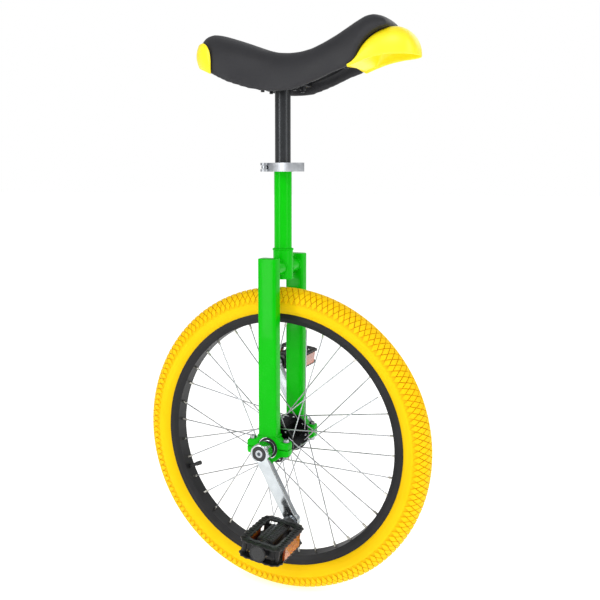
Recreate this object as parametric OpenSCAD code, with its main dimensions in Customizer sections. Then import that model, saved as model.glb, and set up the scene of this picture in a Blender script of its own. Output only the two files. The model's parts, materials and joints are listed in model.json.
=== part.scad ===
// Unicycle with a 20 inch wheel, built as the separate pieces it comes apart into.
// Millimetres. +Z up, +X towards the front of the saddle, +Y towards the rider's left.
// The origin is where the tyre meets the ground, straight under the axle.

/* [Tyre and rim] */
// Outside diameter of the tyre
tyre_d = 504; // [470:1:640]
// Widest part of the tyre
tyre_w = 47; // [42:1:58]
// Thickness of the tyre's casing and tread together
tyre_wall = 3.2; // [2.5:0.1:4]
// Height of the tyre, from the rim's bead seat to the tread
tyre_h = 49; // [44:1:60]
// Width over the rim's two side walls
rim_w = 30; // [26:1:34]
// Height of the rim, from its spoke bed to its hooked edge
rim_h = 14.8; // [12:0.1:20]
// Thickness of the rim's side walls and spoke bed
rim_wall = 1.9; // [1.4:0.1:2.6]
// Length of valve stem that shows inside the rim
valve_show = 14; // [10:1:30]

/* [Hub and spokes] */
// Number of spokes
spoke_count = 36; // [20:4:36]
// Diameter of a spoke
spoke_d = 1.8; // [1.6:0.1:2.3]
// Number of other spokes that each spoke crosses
crosses = 3; // [2:1:3]
// Diameter of the hub's two flanges
flange_d = 64; // [50:1:84]
// Thickness of a flange
flange_t = 3.5; // [3:0.1:5]
// Distance between the middles of the two flanges
flange_gap = 62; // [54:1:66]
// Diameter of the hub's barrel
barrel_d = 30; // [26:1:40]

/* [Bearings] */
// Outside diameter of a bearing
bearing_od = 40; // [36:1:44]
// Bore of a bearing
bearing_id = 17; // [15:1:18]
// Width of a bearing
bearing_w = 12; // [10:1:14]
// Number of balls in a bearing
ball_count = 8; // [6:1:8]
// Wall of the bearing holder around the bearing
holder_wall = 4; // [3:0.5:6]

/* [Frame] */
// Distance between the inner faces of the two legs
leg_gap = 85; // [80:1:110]
// Width of a leg, side to side
leg_w = 21; // [19:1:26]
// Depth of a leg, front to back
leg_depth = 31; // [22:0.5:36]
// Wall of a leg's tube
leg_wall = 2; // [1.5:0.1:3]
// Gap between the tyre and the underside of the crown tubes
crown_gap = 21; // [12:1:40]
// Diameter of the two crown tubes
crown_tube_d = 24; // [20:1:28]
// Outside diameter of the seat tube
seat_tube_d = 28.6; // [28:0.1:31]
// Length of the seat tube
seat_tube_l = 186; // [150:1:300]
// Outside diameter of the sleeve at the foot of the seat tube
sleeve_d = 32.4; // [31.8:0.1:36]
// Length of that sleeve
sleeve_l = 48; // [40:1:70]
// Thickness of one bolted lug beside a bearing
lug_t = 11.5; // [9:0.5:14]
// Distance from the axle to a lug's bolt
lug_bolt_x = 29.2; // [28:0.1:36]
// Diameter of the lug bolts
lug_bolt_d = 6; // [5:1:8]

/* [Cranks and pedals] */
// Distance from the axle to a pedal's spindle
crank_l = 114; // [89:1:150]
// Angle of the right crank ahead of straight down
crank_lead = 28.8; // [0:0.1:60]
// Distance from a leg's outer face to its crank's outer face
crank_out = 28.3; // [27:0.1:40]
// Width of a crank arm beside the axle
crank_arm_w = 22; // [18:0.5:26]
// Thickness of a crank arm
crank_arm_t = 12; // [10:0.5:15]
// Length of a pedal's body, side to side
pedal_l = 97; // [80:1:110]
// Width of a pedal's body, front to back
pedal_w = 69; // [50:1:90]
// Height of a pedal's body
pedal_h = 27; // [20:1:30]
// Nose-down tilt at which the right pedal rests
pedal_tilt = 7; // [-20:1:20]

/* [Seat post and clamp] */
// Diameter of the seat post
post_d = 25.4; // [25:0.1:27.2]
// Length of the seat post
post_l = 250; // [200:1:300]
// Height of the post's top above the seat tube
post_show = 123; // [90:1:180]
// Height of the seat clamp
clamp_h = 14; // [12:1:18]
// Wall of the seat clamp's ring
clamp_wall = 3.2; // [2.5:0.1:5]
// Length of the quick-release lever, from its pivot
lever_l = 66; // [50:1:80]
// Thickness of the lever
lever_t = 5; // [4:0.5:7]

/* [Saddle] */
// Length of the saddle from its rear bumper to the tip of its front bumper
saddle_l = 363; // [300:1:400]
// Width of the saddle at the rear
saddle_w = 140; // [120:1:170]
// Width of the saddle over the seat post
waist_w = 98; // [80:1:120]
// Width of the saddle's nose
nose_w = 88; // [70:1:110]
// Depth of the hollow under the saddle's base
skirt = 18; // [12:1:24]
// Thickness of the moulded base
base_t = 6; // [4:0.5:8]
// Thickness of the bumpers
bumper_t = 4; // [3:0.5:6]

/* [Fits] */
// Radial clearance of the post in the seat tube
post_fit = 0.08; // [0.03:0.01:0.1]
// Radial clearance of the pedal bushes, the lever's pivot and the hand nut
turn_fit = 0.06; // [0.02:0.01:0.1]
// Radial clearance of a ball in its grooves
ball_fit = 0.05; // [0.02:0.01:0.08]
// Radial clearance of a bolt in its hole
bolt_fit = 0.2; // [0.1:0.05:0.5]
// Gap kept between pieces of different bodies that pass each other
pass_gap = 0.8; // [0.5:0.1:1.5]

/* [Hidden] */
$fn = 96;

frame_green = "#00d426";
seat_black = "#35363a";
bumper_yellow = "#fff21a";
tyre_yellow = "#fccf00";
rim_black = "#2b2b2c";
bright_steel = "#c9ccd0";
forged_alloy = "#d5dcdf";
dark_resin = "#2f2f31";
amber = "#c8590f";
cut = 1; // how far a cutting solid runs past the face it cuts

// wheel
axle_z = tyre_d / 2;
bead_seat_d = tyre_d - 2 * tyre_h;
rim_r = bead_seat_d / 2 + 7.3;
bed_r = rim_r - rim_h;
tyre_section_r = tyre_w / 2;
tyre_section_z = tyre_d / 2 - tyre_section_r;
bead_gap = rim_w - 2 * rim_wall;
bead_r = 2.6;
bead_z = bead_seat_d / 2 + bead_r + 1;
tape_t = 0.8;
tape_top = bed_r + rim_wall + tape_t;
tube_t = 1.2;
nipple_r = 2;
nipple_show = 8;
flange_hole_r = flange_d / 2 - 4.5;
spoke_lift = flange_t / 2 + spoke_d / 2;
nipple_offset = 3;
spoke_phase = 92;
valve_angle = 157.4;
valve_r = 3;

// bearings and frame
leg_mid = leg_gap / 2 + leg_w / 2;
holder_w = bearing_w + 6;
holder_r = bearing_od / 2 + holder_wall;
lip_r = bearing_od / 2 - 2.5;
ball_pitch_r = (bearing_od + bearing_id) / 4;
ball_r = bearing_w * 0.28;
race_t = (bearing_od - bearing_id) / 4 - ball_r * 0.62;
leg_top = axle_z + tyre_d / 2 + crown_gap + crown_tube_d + 6.5;
crown_z = axle_z + tyre_d / 2 + crown_gap + crown_tube_d / 2;
sleeve_bottom = crown_z - crown_tube_d / 2 - 7;
tube_top = sleeve_bottom + seat_tube_l;
tube_bore_r = post_d / 2 + post_fit;
slit = 1.5;
lug_x = lug_bolt_x + 6.8;
lug_hole_r = lug_bolt_d / 2 + bolt_fit;
bolt_head_h = lug_bolt_d * 0.7;
bolt_head_r = lug_bolt_d * 0.85;
nut_h = lug_bolt_d * 0.8;

// cranks and pedals
crank_face = leg_gap / 2 + leg_w + crank_out;
taper_w = 11.8;
boss_r = 15;
boss_inner = crank_face - 19;
eye_r = 12;
bolt_seat = crank_face - 9;
dust_r = 11;
crank_bolt_r = 4;
crank_bolt_head_r = 6;
pedal_thread_r = 7.1;
flats_r = 8.5;
pedal_inner = crank_face + 8;
deck_inner = pedal_inner + 12;
deck_outer = deck_inner + pedal_l;
spindle_r = 5.2;
pedal_barrel_r = pedal_h / 2 - 1;
bush_r = spindle_r + 2.6;
bush_l = 12;
deck_t = 3.2;
rail_w = 10;
reflector_t = 3;
reflector_l = 52;
web_z = (deck_t - pedal_h) / 2;

// seat post and clamp
post_top = tube_top + post_show;
post_bottom = post_top - post_l;
plate_t = 3;
clamp_top = tube_top + 1.5;
clamp_bottom = clamp_top - clamp_h;
clamp_r = seat_tube_d / 2 + clamp_wall;
clamp_slit = 3;
ear_l = 15;
ear_half = 10;
cam_head_r = 7;
skewer_r = 2.5;
skewer_x = -(clamp_r + 6.5);
skewer_z = (clamp_top + clamp_bottom) / 2;
cam_y = -(ear_half + cam_head_r + 0.5);
cam_pin_r = 3.5;
lever_h = clamp_h;
hand_nut_t = 9;

// saddle: the post's top stands skirt deep inside the hollow
saddle_z = post_top - skirt + 5;
saddle_k = saddle_l / 363;
stud_x = 28;
stud_y = 16;
stud_r = 3;
pad_x = 40;
pad_y = 26;
screw_r = 2;

// ---- helpers ----

// A smooth curve through a few points, with each stretch cut into steps
function curve(p, steps = 6) = concat(
    [for (i = [0 : len(p) - 2], k = [0 : steps - 1])
        let (a = p[max(i - 1, 0)], b = p[i], c = p[i + 1], d = p[min(i + 2, len(p) - 1)], t = k / steps)
        0.5 * (2 * b + (c - a) * t + (2 * a - 5 * b + 4 * c - d) * t * t
            + (3 * b - a - 3 * c + d) * t * t * t)],
    [p[len(p) - 1]]);

function reversed(p) = [for (i = [len(p) - 1 : -1 : 0]) p[i]];

// A row of points moved by an amount
function moved(p, by) = [for (q = p) q + by];

// A tube along Y between two distances from the middle, on the side s (-1 right, 1 left)
module ring_y(outer, inner, from, to, s = 1)
    rotate([s > 0 ? -90 : 90, 0, 0])
        translate([0, 0, from])
            difference() {
                cylinder(r = outer, h = to - from);
                if (inner > 0)
                    translate([0, 0, -cut]) cylinder(r = inner, h = to - from + 2 * cut);
            }

// A rod between two points
module rod(a, b, r) {
    d = b - a;
    l = norm(d);
    translate(a)
        rotate([0, acos(d.z / l), atan2(d.y, d.x)])
            cylinder(r = r, h = l, $fn = 24);
}

module rounded_rect(x, y, r) {
    square([x - 2 * r, y], center = true);
    square([x, y - 2 * r], center = true);
    for (i = [-1, 1], j = [-1, 1])
        translate([i * (x / 2 - r), j * (y / 2 - r)]) circle(r = r, $fn = 32);
}

// Turns the wheel's own profile, drawn as [distance from the axle, distance across], about the axle
module around_axle()
    translate([0, 0, axle_z])
        rotate([90, 0, 0])
            rotate_extrude($fn = 180) children();

module at_axle() translate([0, 0, axle_z]) children();

// ---- frame ----

module seat_tube() {
    color(frame_green)
    difference() {
        translate([0, 0, sleeve_bottom]) cylinder(d = seat_tube_d, h = tube_top - sleeve_bottom);
        translate([0, 0, sleeve_bottom - cut])
            cylinder(r = tube_bore_r, h = tube_top - sleeve_bottom + 2 * cut);
        translate([-seat_tube_d, -clamp_slit / 2, tube_top - 40])
            cube([seat_tube_d, clamp_slit, 40 + cut]);
    }
}

module seat_tube_sleeve() {
    color(frame_green)
    difference() {
        translate([0, 0, sleeve_bottom]) cylinder(d = sleeve_d, h = sleeve_l);
        translate([0, 0, sleeve_bottom - cut]) cylinder(d = seat_tube_d, h = sleeve_l + 2 * cut);
    }
}

module crown_tubes() {
    color(frame_green)
    for (s = [-1, 1])
        difference() {
            translate([0, 0, crown_z]) ring_y(crown_tube_d / 2, crown_tube_d / 2 - 2, 0, leg_gap / 2, s);
            translate([0, 0, sleeve_bottom - cut]) cylinder(d = sleeve_d, h = sleeve_l + 2 * cut);
        }
}

// A leg's flat-topped tube with the upper half of its bearing holder
module leg(s) {
    color(frame_green)
    difference() {
        union() {
            difference() {
                translate([0, s * leg_mid, axle_z + holder_r - 3])
                    linear_extrude(leg_top - axle_z - holder_r + 3) rounded_rect(leg_depth, leg_w, 4);
                translate([0, s * leg_mid, axle_z + holder_r + 3])
                    linear_extrude(leg_top - leg_wall - axle_z - holder_r - 3)
                        rounded_rect(leg_depth - 2 * leg_wall, leg_w - 2 * leg_wall, 2);
            }
            holder_half(s, 1);
        }
        bearing_seat(s);
    }
}

// Half of a bearing holder with its two lugs: up is 1 for the leg's half and -1 for the cap
module holder_half(s, up) {
    difference() {
        union() {
            at_axle() ring_y(holder_r, 0, leg_mid - holder_w / 2, leg_mid + holder_w / 2, s);
            translate([-lug_x, s * leg_mid - holder_w / 2, axle_z - (up < 0 ? lug_t : 0)])
                cube([2 * lug_x, holder_w, lug_t]);
        }
        translate([-lug_x - cut, s * leg_mid - holder_w, axle_z + (up > 0 ? -holder_r - cut : -slit / 2)])
            cube([2 * (lug_x + cut), 2 * holder_w, holder_r + cut + slit / 2]);
        for (x = [-1, 1])
            translate([x * lug_bolt_x, s * leg_mid, axle_z - lug_t - cut])
                cylinder(r = lug_hole_r, h = 2 * (lug_t + cut));
    }
}

// The stepped hole that holds a bearing between two lips
module bearing_seat(s)
    at_axle() {
        ring_y(bearing_od / 2, 0, leg_mid - bearing_w / 2, leg_mid + bearing_w / 2, s);
        ring_y(lip_r, 0, leg_mid - holder_w, leg_mid + holder_w, s);
    }

module right_leg() leg(-1);
module left_leg() leg(1);

module bearing_cap(s) {
    color(frame_green)
    difference() {
        holder_half(s, -1);
        bearing_seat(s);
    }
}

module right_bearing_cap() bearing_cap(-1);
module left_bearing_cap() bearing_cap(1);

module each_lug_bolt()
    for (s = [-1, 1], x = [-1, 1])
        translate([x * lug_bolt_x, s * leg_mid, axle_z]) children();

module cap_bolts() {
    color(bright_steel)
    each_lug_bolt() {
        translate([0, 0, lug_t]) cylinder(r = bolt_head_r, h = bolt_head_h);
        translate([0, 0, -lug_t - nut_h - 1.5])
            cylinder(d = lug_bolt_d, h = 2 * lug_t + nut_h + 1.5);
    }
}

module cap_nuts() {
    color(bright_steel)
    each_lug_bolt()
        translate([0, 0, -lug_t - nut_h])
            difference() {
                cylinder(r = bolt_head_r * 1.1, h = nut_h, $fn = 6);
                translate([0, 0, -cut]) cylinder(d = lug_bolt_d, h = nut_h + 2 * cut);
            }
}

// ---- bearings ----

module each_side() for (s = [-1, 1]) translate([0, s * leg_mid, 0]) children();

module groove()
    at_axle()
        rotate([90, 0, 0])
            rotate_extrude() translate([ball_pitch_r, 0]) circle(r = ball_r + ball_fit, $fn = 48);

module race(outer, inner)
    each_side()
        difference() {
            at_axle() ring_y(outer, inner, -bearing_w / 2, bearing_w / 2);
            groove();
        }

module bearing_outer_races() color(bright_steel) race(bearing_od / 2, bearing_od / 2 - race_t);
module bearing_inner_races() color(bright_steel) race(bearing_id / 2 + race_t, bearing_id / 2);

module bearing_balls() {
    color(bright_steel)
    each_side() at_axle()
        for (i = [0 : ball_count - 1])
            rotate([0, i * 360 / ball_count, 0])
                translate([ball_pitch_r, 0, 0]) sphere(r = ball_r);
}

module ball_cages() {
    color("#8a6a35")
    each_side() at_axle()
        difference() {
            ring_y(ball_pitch_r + 0.9, ball_pitch_r - 0.9, -ball_r - 0.7, ball_r + 0.7);
            for (i = [0 : ball_count - 1])
                rotate([0, i * 360 / ball_count + 90, 0])
                    cylinder(r = ball_r + ball_fit, h = 2 * ball_pitch_r);
        }
}

module bearing_seals() {
    color(dark_resin)
    each_side() at_axle()
        for (side = [-1, 1])
            ring_y(bearing_od / 2 - race_t, bearing_id / 2 + race_t + pass_gap / 2,
                bearing_w / 2 - 1.4, bearing_w / 2 - 0.4, side);
}

// ---- seat clamp ----

module clamp_collar() {
    color(bright_steel)
    difference() {
        union() {
            translate([0, 0, clamp_bottom]) cylinder(r = clamp_r, h = clamp_h);
            translate([-clamp_r - ear_l + 2, -ear_half, clamp_bottom]) cube([ear_l, 2 * ear_half, clamp_h]);
        }
        translate([0, 0, clamp_bottom - cut]) cylinder(d = seat_tube_d, h = tube_top - clamp_bottom + cut);
        translate([0, 0, clamp_bottom - cut]) cylinder(r = post_d / 2 + pass_gap, h = clamp_h + 2 * cut);
        translate([-clamp_r - ear_l, -clamp_slit / 2, clamp_bottom - cut])
            cube([clamp_r + ear_l, clamp_slit, clamp_h + 2 * cut]);
        translate([skewer_x, 0, skewer_z]) ring_y(skewer_r + bolt_fit, 0, -2 * ear_half, 2 * ear_half);
    }
}

module clamp_skewer() {
    color(bright_steel)
    translate([skewer_x, 0, skewer_z])
        difference() {
            union() {
                ring_y(skewer_r, 0, cam_y, ear_half + hand_nut_t + 4);
                translate([0, cam_y, -2.2]) cylinder(r = cam_pin_r + 2, h = 4.4);
            }
            translate([0, cam_y, -clamp_h]) cylinder(r = cam_pin_r + turn_fit, h = 2 * clamp_h);
        }
}

module clamp_hand_nut() {
    color(bright_steel)
    translate([skewer_x, 0, skewer_z])
        ring_y(clamp_h / 2 - 0.5, skewer_r + turn_fit, ear_half + 0.3, ear_half + hand_nut_t);
}

module lever_cam_pin() {
    color(bright_steel)
    translate([skewer_x, cam_y, skewer_z - lever_h / 2 + 0.5]) cylinder(r = cam_pin_r, h = lever_h - 1);
}

// The lever's head turns on the pin, and its blade curves round the front of the collar
module clamp_lever() {
    blade_r = lever_l * 0.9;
    color(bright_steel)
    difference() {
        union() {
            translate([skewer_x, cam_y, skewer_z - lever_h / 2]) cylinder(r = cam_head_r, h = lever_h);
            intersection() {
                translate([skewer_x + lever_l / 2, cam_y + blade_r - 5, skewer_z - lever_h / 2])
                    difference() {
                        cylinder(r = blade_r + lever_t / 2, h = lever_h);
                        translate([0, 0, -cut]) cylinder(r = blade_r - lever_t / 2, h = lever_h + 2 * cut);
                    }
                translate([skewer_x, cam_y - 2 * lever_l, skewer_z - lever_h])
                    cube([lever_l, 2.4 * lever_l, 2 * lever_h]);
                translate([-lever_l, -3 * lever_l, skewer_z - lever_h])
                    cube([3 * lever_l, 3 * lever_l - ear_half - 0.4, 2 * lever_h]);
            }
        }
        translate([skewer_x, cam_y, skewer_z - lever_h]) cylinder(r = cam_pin_r, h = 2 * lever_h);
        translate([skewer_x, cam_y, skewer_z - skewer_r - 0.5])
            cylinder(r = cam_head_r + pass_gap, h = 2 * skewer_r + 1);
    }
}

// ---- seat post and saddle ----

module seat_post() {
    color("#3c3e42")
    translate([0, 0, post_bottom])
        difference() {
            cylinder(d = post_d, h = post_l);
            translate([0, 0, -cut]) cylinder(d = post_d - 4.4, h = post_l + cut - 4);
        }
}

module post_plate() {
    color(dark_resin)
    difference() {
        translate([-pad_x, -pad_y, post_top]) cube([2 * pad_x, 2 * pad_y, plate_t]);
        each_stud() cylinder(r = stud_r + bolt_fit, h = 6 * plate_t, center = true);
    }
}

module each_stud()
    for (i = [-1, 1], j = [-1, 1])
        translate([i * stud_x, j * stud_y, post_top]) children();

module plate_studs() {
    color(bright_steel)
    each_stud() translate([0, 0, -9]) cylinder(r = stud_r, h = 9 + plate_t + 5);
}

module plate_nuts() {
    color(bright_steel)
    each_stud()
        translate([0, 0, -5])
            difference() {
                cylinder(r = 5.8, h = 5, $fn = 6);
                translate([0, 0, -cut]) cylinder(r = stud_r, h = 5 + 2 * cut);
            }
}

// Heights along the saddle's middle, as [distance ahead of the post, height above its lowest edge]
saddle_top = saddle_k * [[-137, 54], [-133, 82], [-112, 100], [-65, 87], [-18, 70], [17, 64.5], [55, 68],
    [95, 85], [135, 107], [158, 113], [181, 104], [190, 88]];
saddle_edge = saddle_k * [[-137, 42], [-119, 38], [-93, 29], [-74, 19], [-46, 8.5], [-19, 2.5], [10, 0],
    [33, 1.5], [51, 6], [72, 13], [97, 24], [118, 30], [146, 40], [167, 46], [190, 49]];
handle_centre = saddle_k * [190, 41];
handle_r = saddle_k * 52;
handle_reach = saddle_k * 36;
handle_floor = saddle_k * 49;
handle_crown = handle_centre.y + handle_r - handle_floor;
rear_bumper_x = saddle_k * -94;
rear_bumper_h = saddle_k * 80;

// Half the saddle's width at a distance ahead of the post
rear_x = saddle_k * -80;
rear_reach = saddle_k * 57;
nose_x = saddle_k * 150;
nose_reach = saddle_k * 73;
function ease(t) = let (u = min(max(t, 0), 1)) u * u * (3 - 2 * u);
function round_end(t) = pow(max(1 - pow(t, 2.5), 0), 0.4);
function half_width(x) =
    x < rear_x ? saddle_w / 2 * round_end((rear_x - x) / rear_reach)
    : x < 0 ? saddle_w / 2 + (waist_w - saddle_w) / 2 * ease((x - rear_x) / -rear_x)
    : x < nose_x ? waist_w / 2 + (nose_w - waist_w) / 2 * ease(x / nose_x)
    : nose_w / 2 * round_end((x - nose_x) / nose_reach);

// The saddle's outline from above, grown outwards by an amount
module saddle_plan(grow = 0) {
    steps = 40;
    middle = (rear_x - rear_reach + nose_x + nose_reach) / 2;
    reach = middle - rear_x + rear_reach;
    side = [for (i = [0 : steps])
        let (s = -cos(180 * i / steps), x = middle + s * reach)
        [x + s * grow, half_width(x) + grow * round_end(abs(s))]];
    polygon(concat(side, [for (i = [steps - 1 : -1 : 1]) [side[i].x, -side[i].y]]));
}

// A side outline, drawn as [X, height above the lowest edge], made solid across the saddle
module across(w = 2 * saddle_w)
    translate([0, w / 2, saddle_z]) rotate([90, 0, 0]) linear_extrude(w) children();

module from_above(grow = 0)
    translate([0, 0, saddle_z - 50]) linear_extrude(250) saddle_plan(grow);

// Everything between the lowest edge moved up by an amount and a flat ceiling
module above_edge(up, ceiling = 200) {
    edge = moved(curve(saddle_edge, 4), [0, up]);
    last = edge[len(edge) - 1];
    polygon(concat(edge, [[last.x + 60, last.y], [last.x + 60, ceiling], [edge[0].x - 60, ceiling],
        [edge[0].x - 60, edge[0].y]]));
}

module saddle_side() polygon(concat(curve(saddle_edge, 4), reversed(curve(saddle_top))));

// The front bumper's side outline, drawn in by an amount
module handle_side(inset = 0) {
    intersection() {
        union() {
            translate(handle_centre) circle(r = handle_r - inset);
            translate([handle_centre.x, handle_floor])
                polygon(concat([[-1, -1]], [for (t = [0 : 7.5 : 90])
                    [cos(t) * (handle_reach - inset), sin(t) * (handle_crown - inset)]]));
        }
        translate([0, inset > 0 ? -100 : 0]) above_edge(0);
        translate([handle_centre.x - handle_r, -200]) square([handle_r + handle_reach - inset, 400]);
    }
}

module front_bumper_block(inset = 0)
    intersection() {
        across() handle_side(inset);
        from_above(inset > 0 ? 3 - inset : 3);
    }

module front_bumper() {
    color(bumper_yellow)
    difference() {
        front_bumper_block();
        front_bumper_block(bumper_t);
    }
}

module rear_bumper_block()
    intersection() {
        across()
            intersection() {
                above_edge(0, rear_bumper_h);
                translate([rear_bumper_x - 100, 0]) square([100, 200]);
            }
        from_above(3);
    }

module rear_bumper() {
    color(bumper_yellow)
    difference() {
        rear_bumper_block();
        from_above(3 - bumper_t);
    }
}

// Everything inside the saddle's skirt that lies less than an amount above its lowest edge
module hollow_below(up)
    difference() {
        intersection() {
            from_above(-9);
            translate([-saddle_l, -saddle_w, saddle_z - 50]) cube([2 * saddle_l, 2 * saddle_w, 150]);
        }
        across() above_edge(up);
    }

// The moulded base follows the lowest edge, with a level pad for the post's plate
module saddle_base() {
    edge = curve(saddle_edge, 4);
    color(dark_resin)
    difference() {
        union() {
            intersection() {
                across()
                    polygon(concat(moved(edge, [0, skirt]), reversed(moved(edge, [0, skirt + base_t]))));
                from_above(-9);
            }
            across(2 * pad_y)
                intersection() {
                    polygon(concat(moved(edge, [0, skirt + base_t / 2]), [[saddle_l, -50], [-saddle_l, -50]]));
                    translate([-pad_x, post_top + plate_t - saddle_z]) square([2 * pad_x, 100]);
                }
        }
        front_bumper_block();
        each_stud() translate([0, 0, -9]) cylinder(r = stud_r, h = 9 + plate_t + 5);
        screws();
    }
}

module saddle_cushion() {
    color(seat_black)
    difference() {
        intersection() {
            across() saddle_side();
            union() {
                from_above(3 - bumper_t);
                difference() {
                    from_above();
                    across()
                        translate([rear_bumper_x - 100, rear_bumper_h - 300]) square([100, 300]);
                }
            }
        }
        hollow_below(skirt + base_t);
        front_bumper_block();
        screws();
    }
}

// Four short screws that go up through the base into the padding
module screws()
    for (x = [-100, 100], y = [-1, 1])
        translate([saddle_k * x, y * 22, saddle_z + saddle_k * (x < 0 ? 31.5 : 25) + skirt - 1]) {
            cylinder(r = screw_r, h = 12);
            translate([0, 0, -3]) cylinder(r = 2 * screw_r, h = 3);
        }

module base_screws() color(bright_steel) screws();

// ---- wheel ----

module hub_shell() {
    color(dark_resin)
    at_axle()
        difference() {
            union() {
                ring_y(barrel_d / 2, 0, -flange_gap / 2, flange_gap / 2);
                for (s = [-1, 1])
                    ring_y(flange_d / 2, 0, flange_gap / 2 - flange_t / 2, flange_gap / 2 + flange_t / 2, s);
            }
            ring_y(axle_r, 0, -flange_gap, flange_gap);
            for (i = [0 : spoke_count / 2 - 1], s = [-1, 1])
                rotate([0, hub_angle(i, s), 0])
                    translate([flange_hole_r, 0, 0])
                        ring_y(spoke_d * 0.58 + bolt_fit, 0, flange_gap / 2 - flange_t,
                            flange_gap / 2 + flange_t, s);
        }
}

axle_r = bearing_id / 2 + 2;

// The spindle: thick in the hub, turned down for the bearings, squared at its ends for the cranks
module axle() {
    color(bright_steel)
    difference() {
        union() {
            at_axle() ring_y(axle_r, 0, -leg_mid + bearing_w / 2, leg_mid - bearing_w / 2);
            at_axle() ring_y(bearing_id / 2, 0, -boss_inner, boss_inner);
            for (s = [-1, 1]) on_crank(s) square_end(s, boss_inner - 2, bolt_seat - 1);
        }
        for (s = [-1, 1]) at_axle() ring_y(crank_bolt_r, 0, bolt_seat - 26, bolt_seat + cut, s);
    }
}

// The square part of the axle, or its hole in a crank, between two distances from the middle
module square_end(s, from, to)
    translate([-taper_w / 2, s > 0 ? from : -to, -taper_w / 2]) cube([taper_w, to - from, taper_w]);

module axle_spacers() {
    color(bright_steel)
    at_axle()
        for (s = [-1, 1])
            ring_y(bearing_id / 2 + race_t - 0.4, bearing_id / 2, leg_mid + bearing_w / 2, boss_inner, s);
}

// Spoke lacing. The holes of the two flanges are half a step apart.
// An outer spoke starts far enough out to clear the flange's edge on its way to the rim.
spoke_step = 720 / spoke_count;
flat_l = sqrt(pow(bed_r, 2) + pow(flange_hole_r, 2)
    - 2 * bed_r * flange_hole_r * cos(crosses * spoke_step));
lead = (bed_r * flange_hole_r * cos(crosses * spoke_step) - pow(flange_hole_r, 2)) / flat_l;
edge_run = sqrt(pow(lead, 2) - pow(flange_hole_r, 2) + pow(flange_d / 2 + spoke_d, 2)) - lead;
outer_start = nipple_offset + (flange_gap / 2 + spoke_lift - nipple_offset) / (1 - edge_run / flat_l);
function hub_angle(i, s) = spoke_phase + i * spoke_step + (s > 0 ? spoke_step / 2 : 0);
function lean(i, s) = i % 2 == 0 ? -s : s;
function rim_angle(i, s) = hub_angle(i, s) + lean(i, s) * crosses * spoke_step;
function wheel_point(r, angle, y) = [r * cos(angle), y, axle_z - r * sin(angle)];
function spoke_start(i, s) =
    wheel_point(flange_hole_r, hub_angle(i, s), s * (lean(i, s) > 0 ? outer_start : flange_gap / 2 - spoke_lift));
function spoke_end(i, s) = wheel_point(bed_r, rim_angle(i, s), s * nipple_offset);
function along(a, b, l) = b + (a - b) * (l / norm(a - b));

// A spoke's head and its thick elbow cross the flange, and its wire leaves the elbow for the rim
module spokes() {
    head_r = spoke_d * 0.95;
    elbow_r = spoke_d * 0.58;
    color(bright_steel)
    for (i = [0 : spoke_count / 2 - 1], s = [-1, 1]) {
        a = spoke_start(i, s);
        out = s * lean(i, s);
        face_y = s * flange_gap / 2 - out * (flange_t / 2 + 0.1);
        rod(a, along(a, spoke_end(i, s), nipple_show), spoke_d / 2);
        rod([a.x, face_y, a.z], [a.x, a.y + out * elbow_r, a.z], elbow_r);
        rod([a.x, face_y - out * 1.2, a.z], [a.x, face_y, a.z], head_r);
    }
}

module spoke_nipples() {
    color(bright_steel)
    for (i = [0 : spoke_count / 2 - 1], s = [-1, 1]) {
        a = spoke_start(i, s);
        b = spoke_end(i, s);
        rod(along(a, b, nipple_show), along(a, b, -2.6), nipple_r);
    }
}

module rim() {
    flat = rim_w / 2 - 2.5;
    color(rim_black)
    difference() {
        around_axle()
            difference() {
                polygon([[bed_r, -flat], [bed_r, flat], [bed_r + 7, rim_w / 2], [rim_r, rim_w / 2],
                    [rim_r, -rim_w / 2], [bed_r + 7, -rim_w / 2]]);
                polygon([[bed_r + rim_wall, rim_wall - flat], [bed_r + rim_wall, flat - rim_wall],
                    [bed_r + 7.5, bead_gap / 2], [rim_r + cut, bead_gap / 2],
                    [rim_r + cut, -bead_gap / 2], [bed_r + 7.5, -bead_gap / 2]]);
            }
        for (i = [0 : spoke_count / 2 - 1], s = [-1, 1]) {
            a = spoke_start(i, s);
            b = spoke_end(i, s);
            rod(along(a, b, 6), along(a, b, -8), nipple_r);
        }
        valve_rod(bed_r - 4, bed_r + 6, valve_r);
    }
}

// A rod along the valve's line, between two distances from the axle
module valve_rod(from, to, r)
    rod(wheel_point(from, valve_angle, 0), wheel_point(to, valve_angle, 0), r);

module rim_tape() {
    color(dark_resin)
    difference() {
        around_axle() translate([bed_r + rim_wall + 1.2, -8]) square([tape_t, 16]);
        valve_rod(bed_r - 4, bed_r + 12, valve_r);
    }
}

module inner_tube() {
    tube_r = tyre_section_r - tyre_wall - 0.2;
    color(dark_resin)
    difference() {
        around_axle()
            difference() {
                tube_section(tube_r);
                tube_section(tube_r - tube_t, tube_t);
            }
        valve_rod(bed_r - 4, tyre_section_z, valve_r);
    }
}

// The inflated tube bulges down between the beads to the tape
module tube_section(r, inset = 0) {
    foot = tape_top + 1.4 + inset;
    translate([tyre_section_z, 0]) circle(r = r);
    translate([foot, -7 + inset]) square([tyre_section_z - foot, 14 - 2 * inset]);
}

module valve_stem() {
    color(dark_resin)
    valve_rod(bed_r - valve_show, tyre_section_z - 8, valve_r);
}

module valve_ring() {
    color(bright_steel)
    difference() {
        valve_rod(bed_r - 1.8, bed_r - 0.2, valve_r + 1.5);
        valve_rod(bed_r - 3, bed_r + 1, valve_r);
    }
}

module valve_cap() {
    color(dark_resin)
    valve_rod(bed_r - valve_show - 9, bed_r - valve_show, valve_r + 0.7);
}

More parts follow.
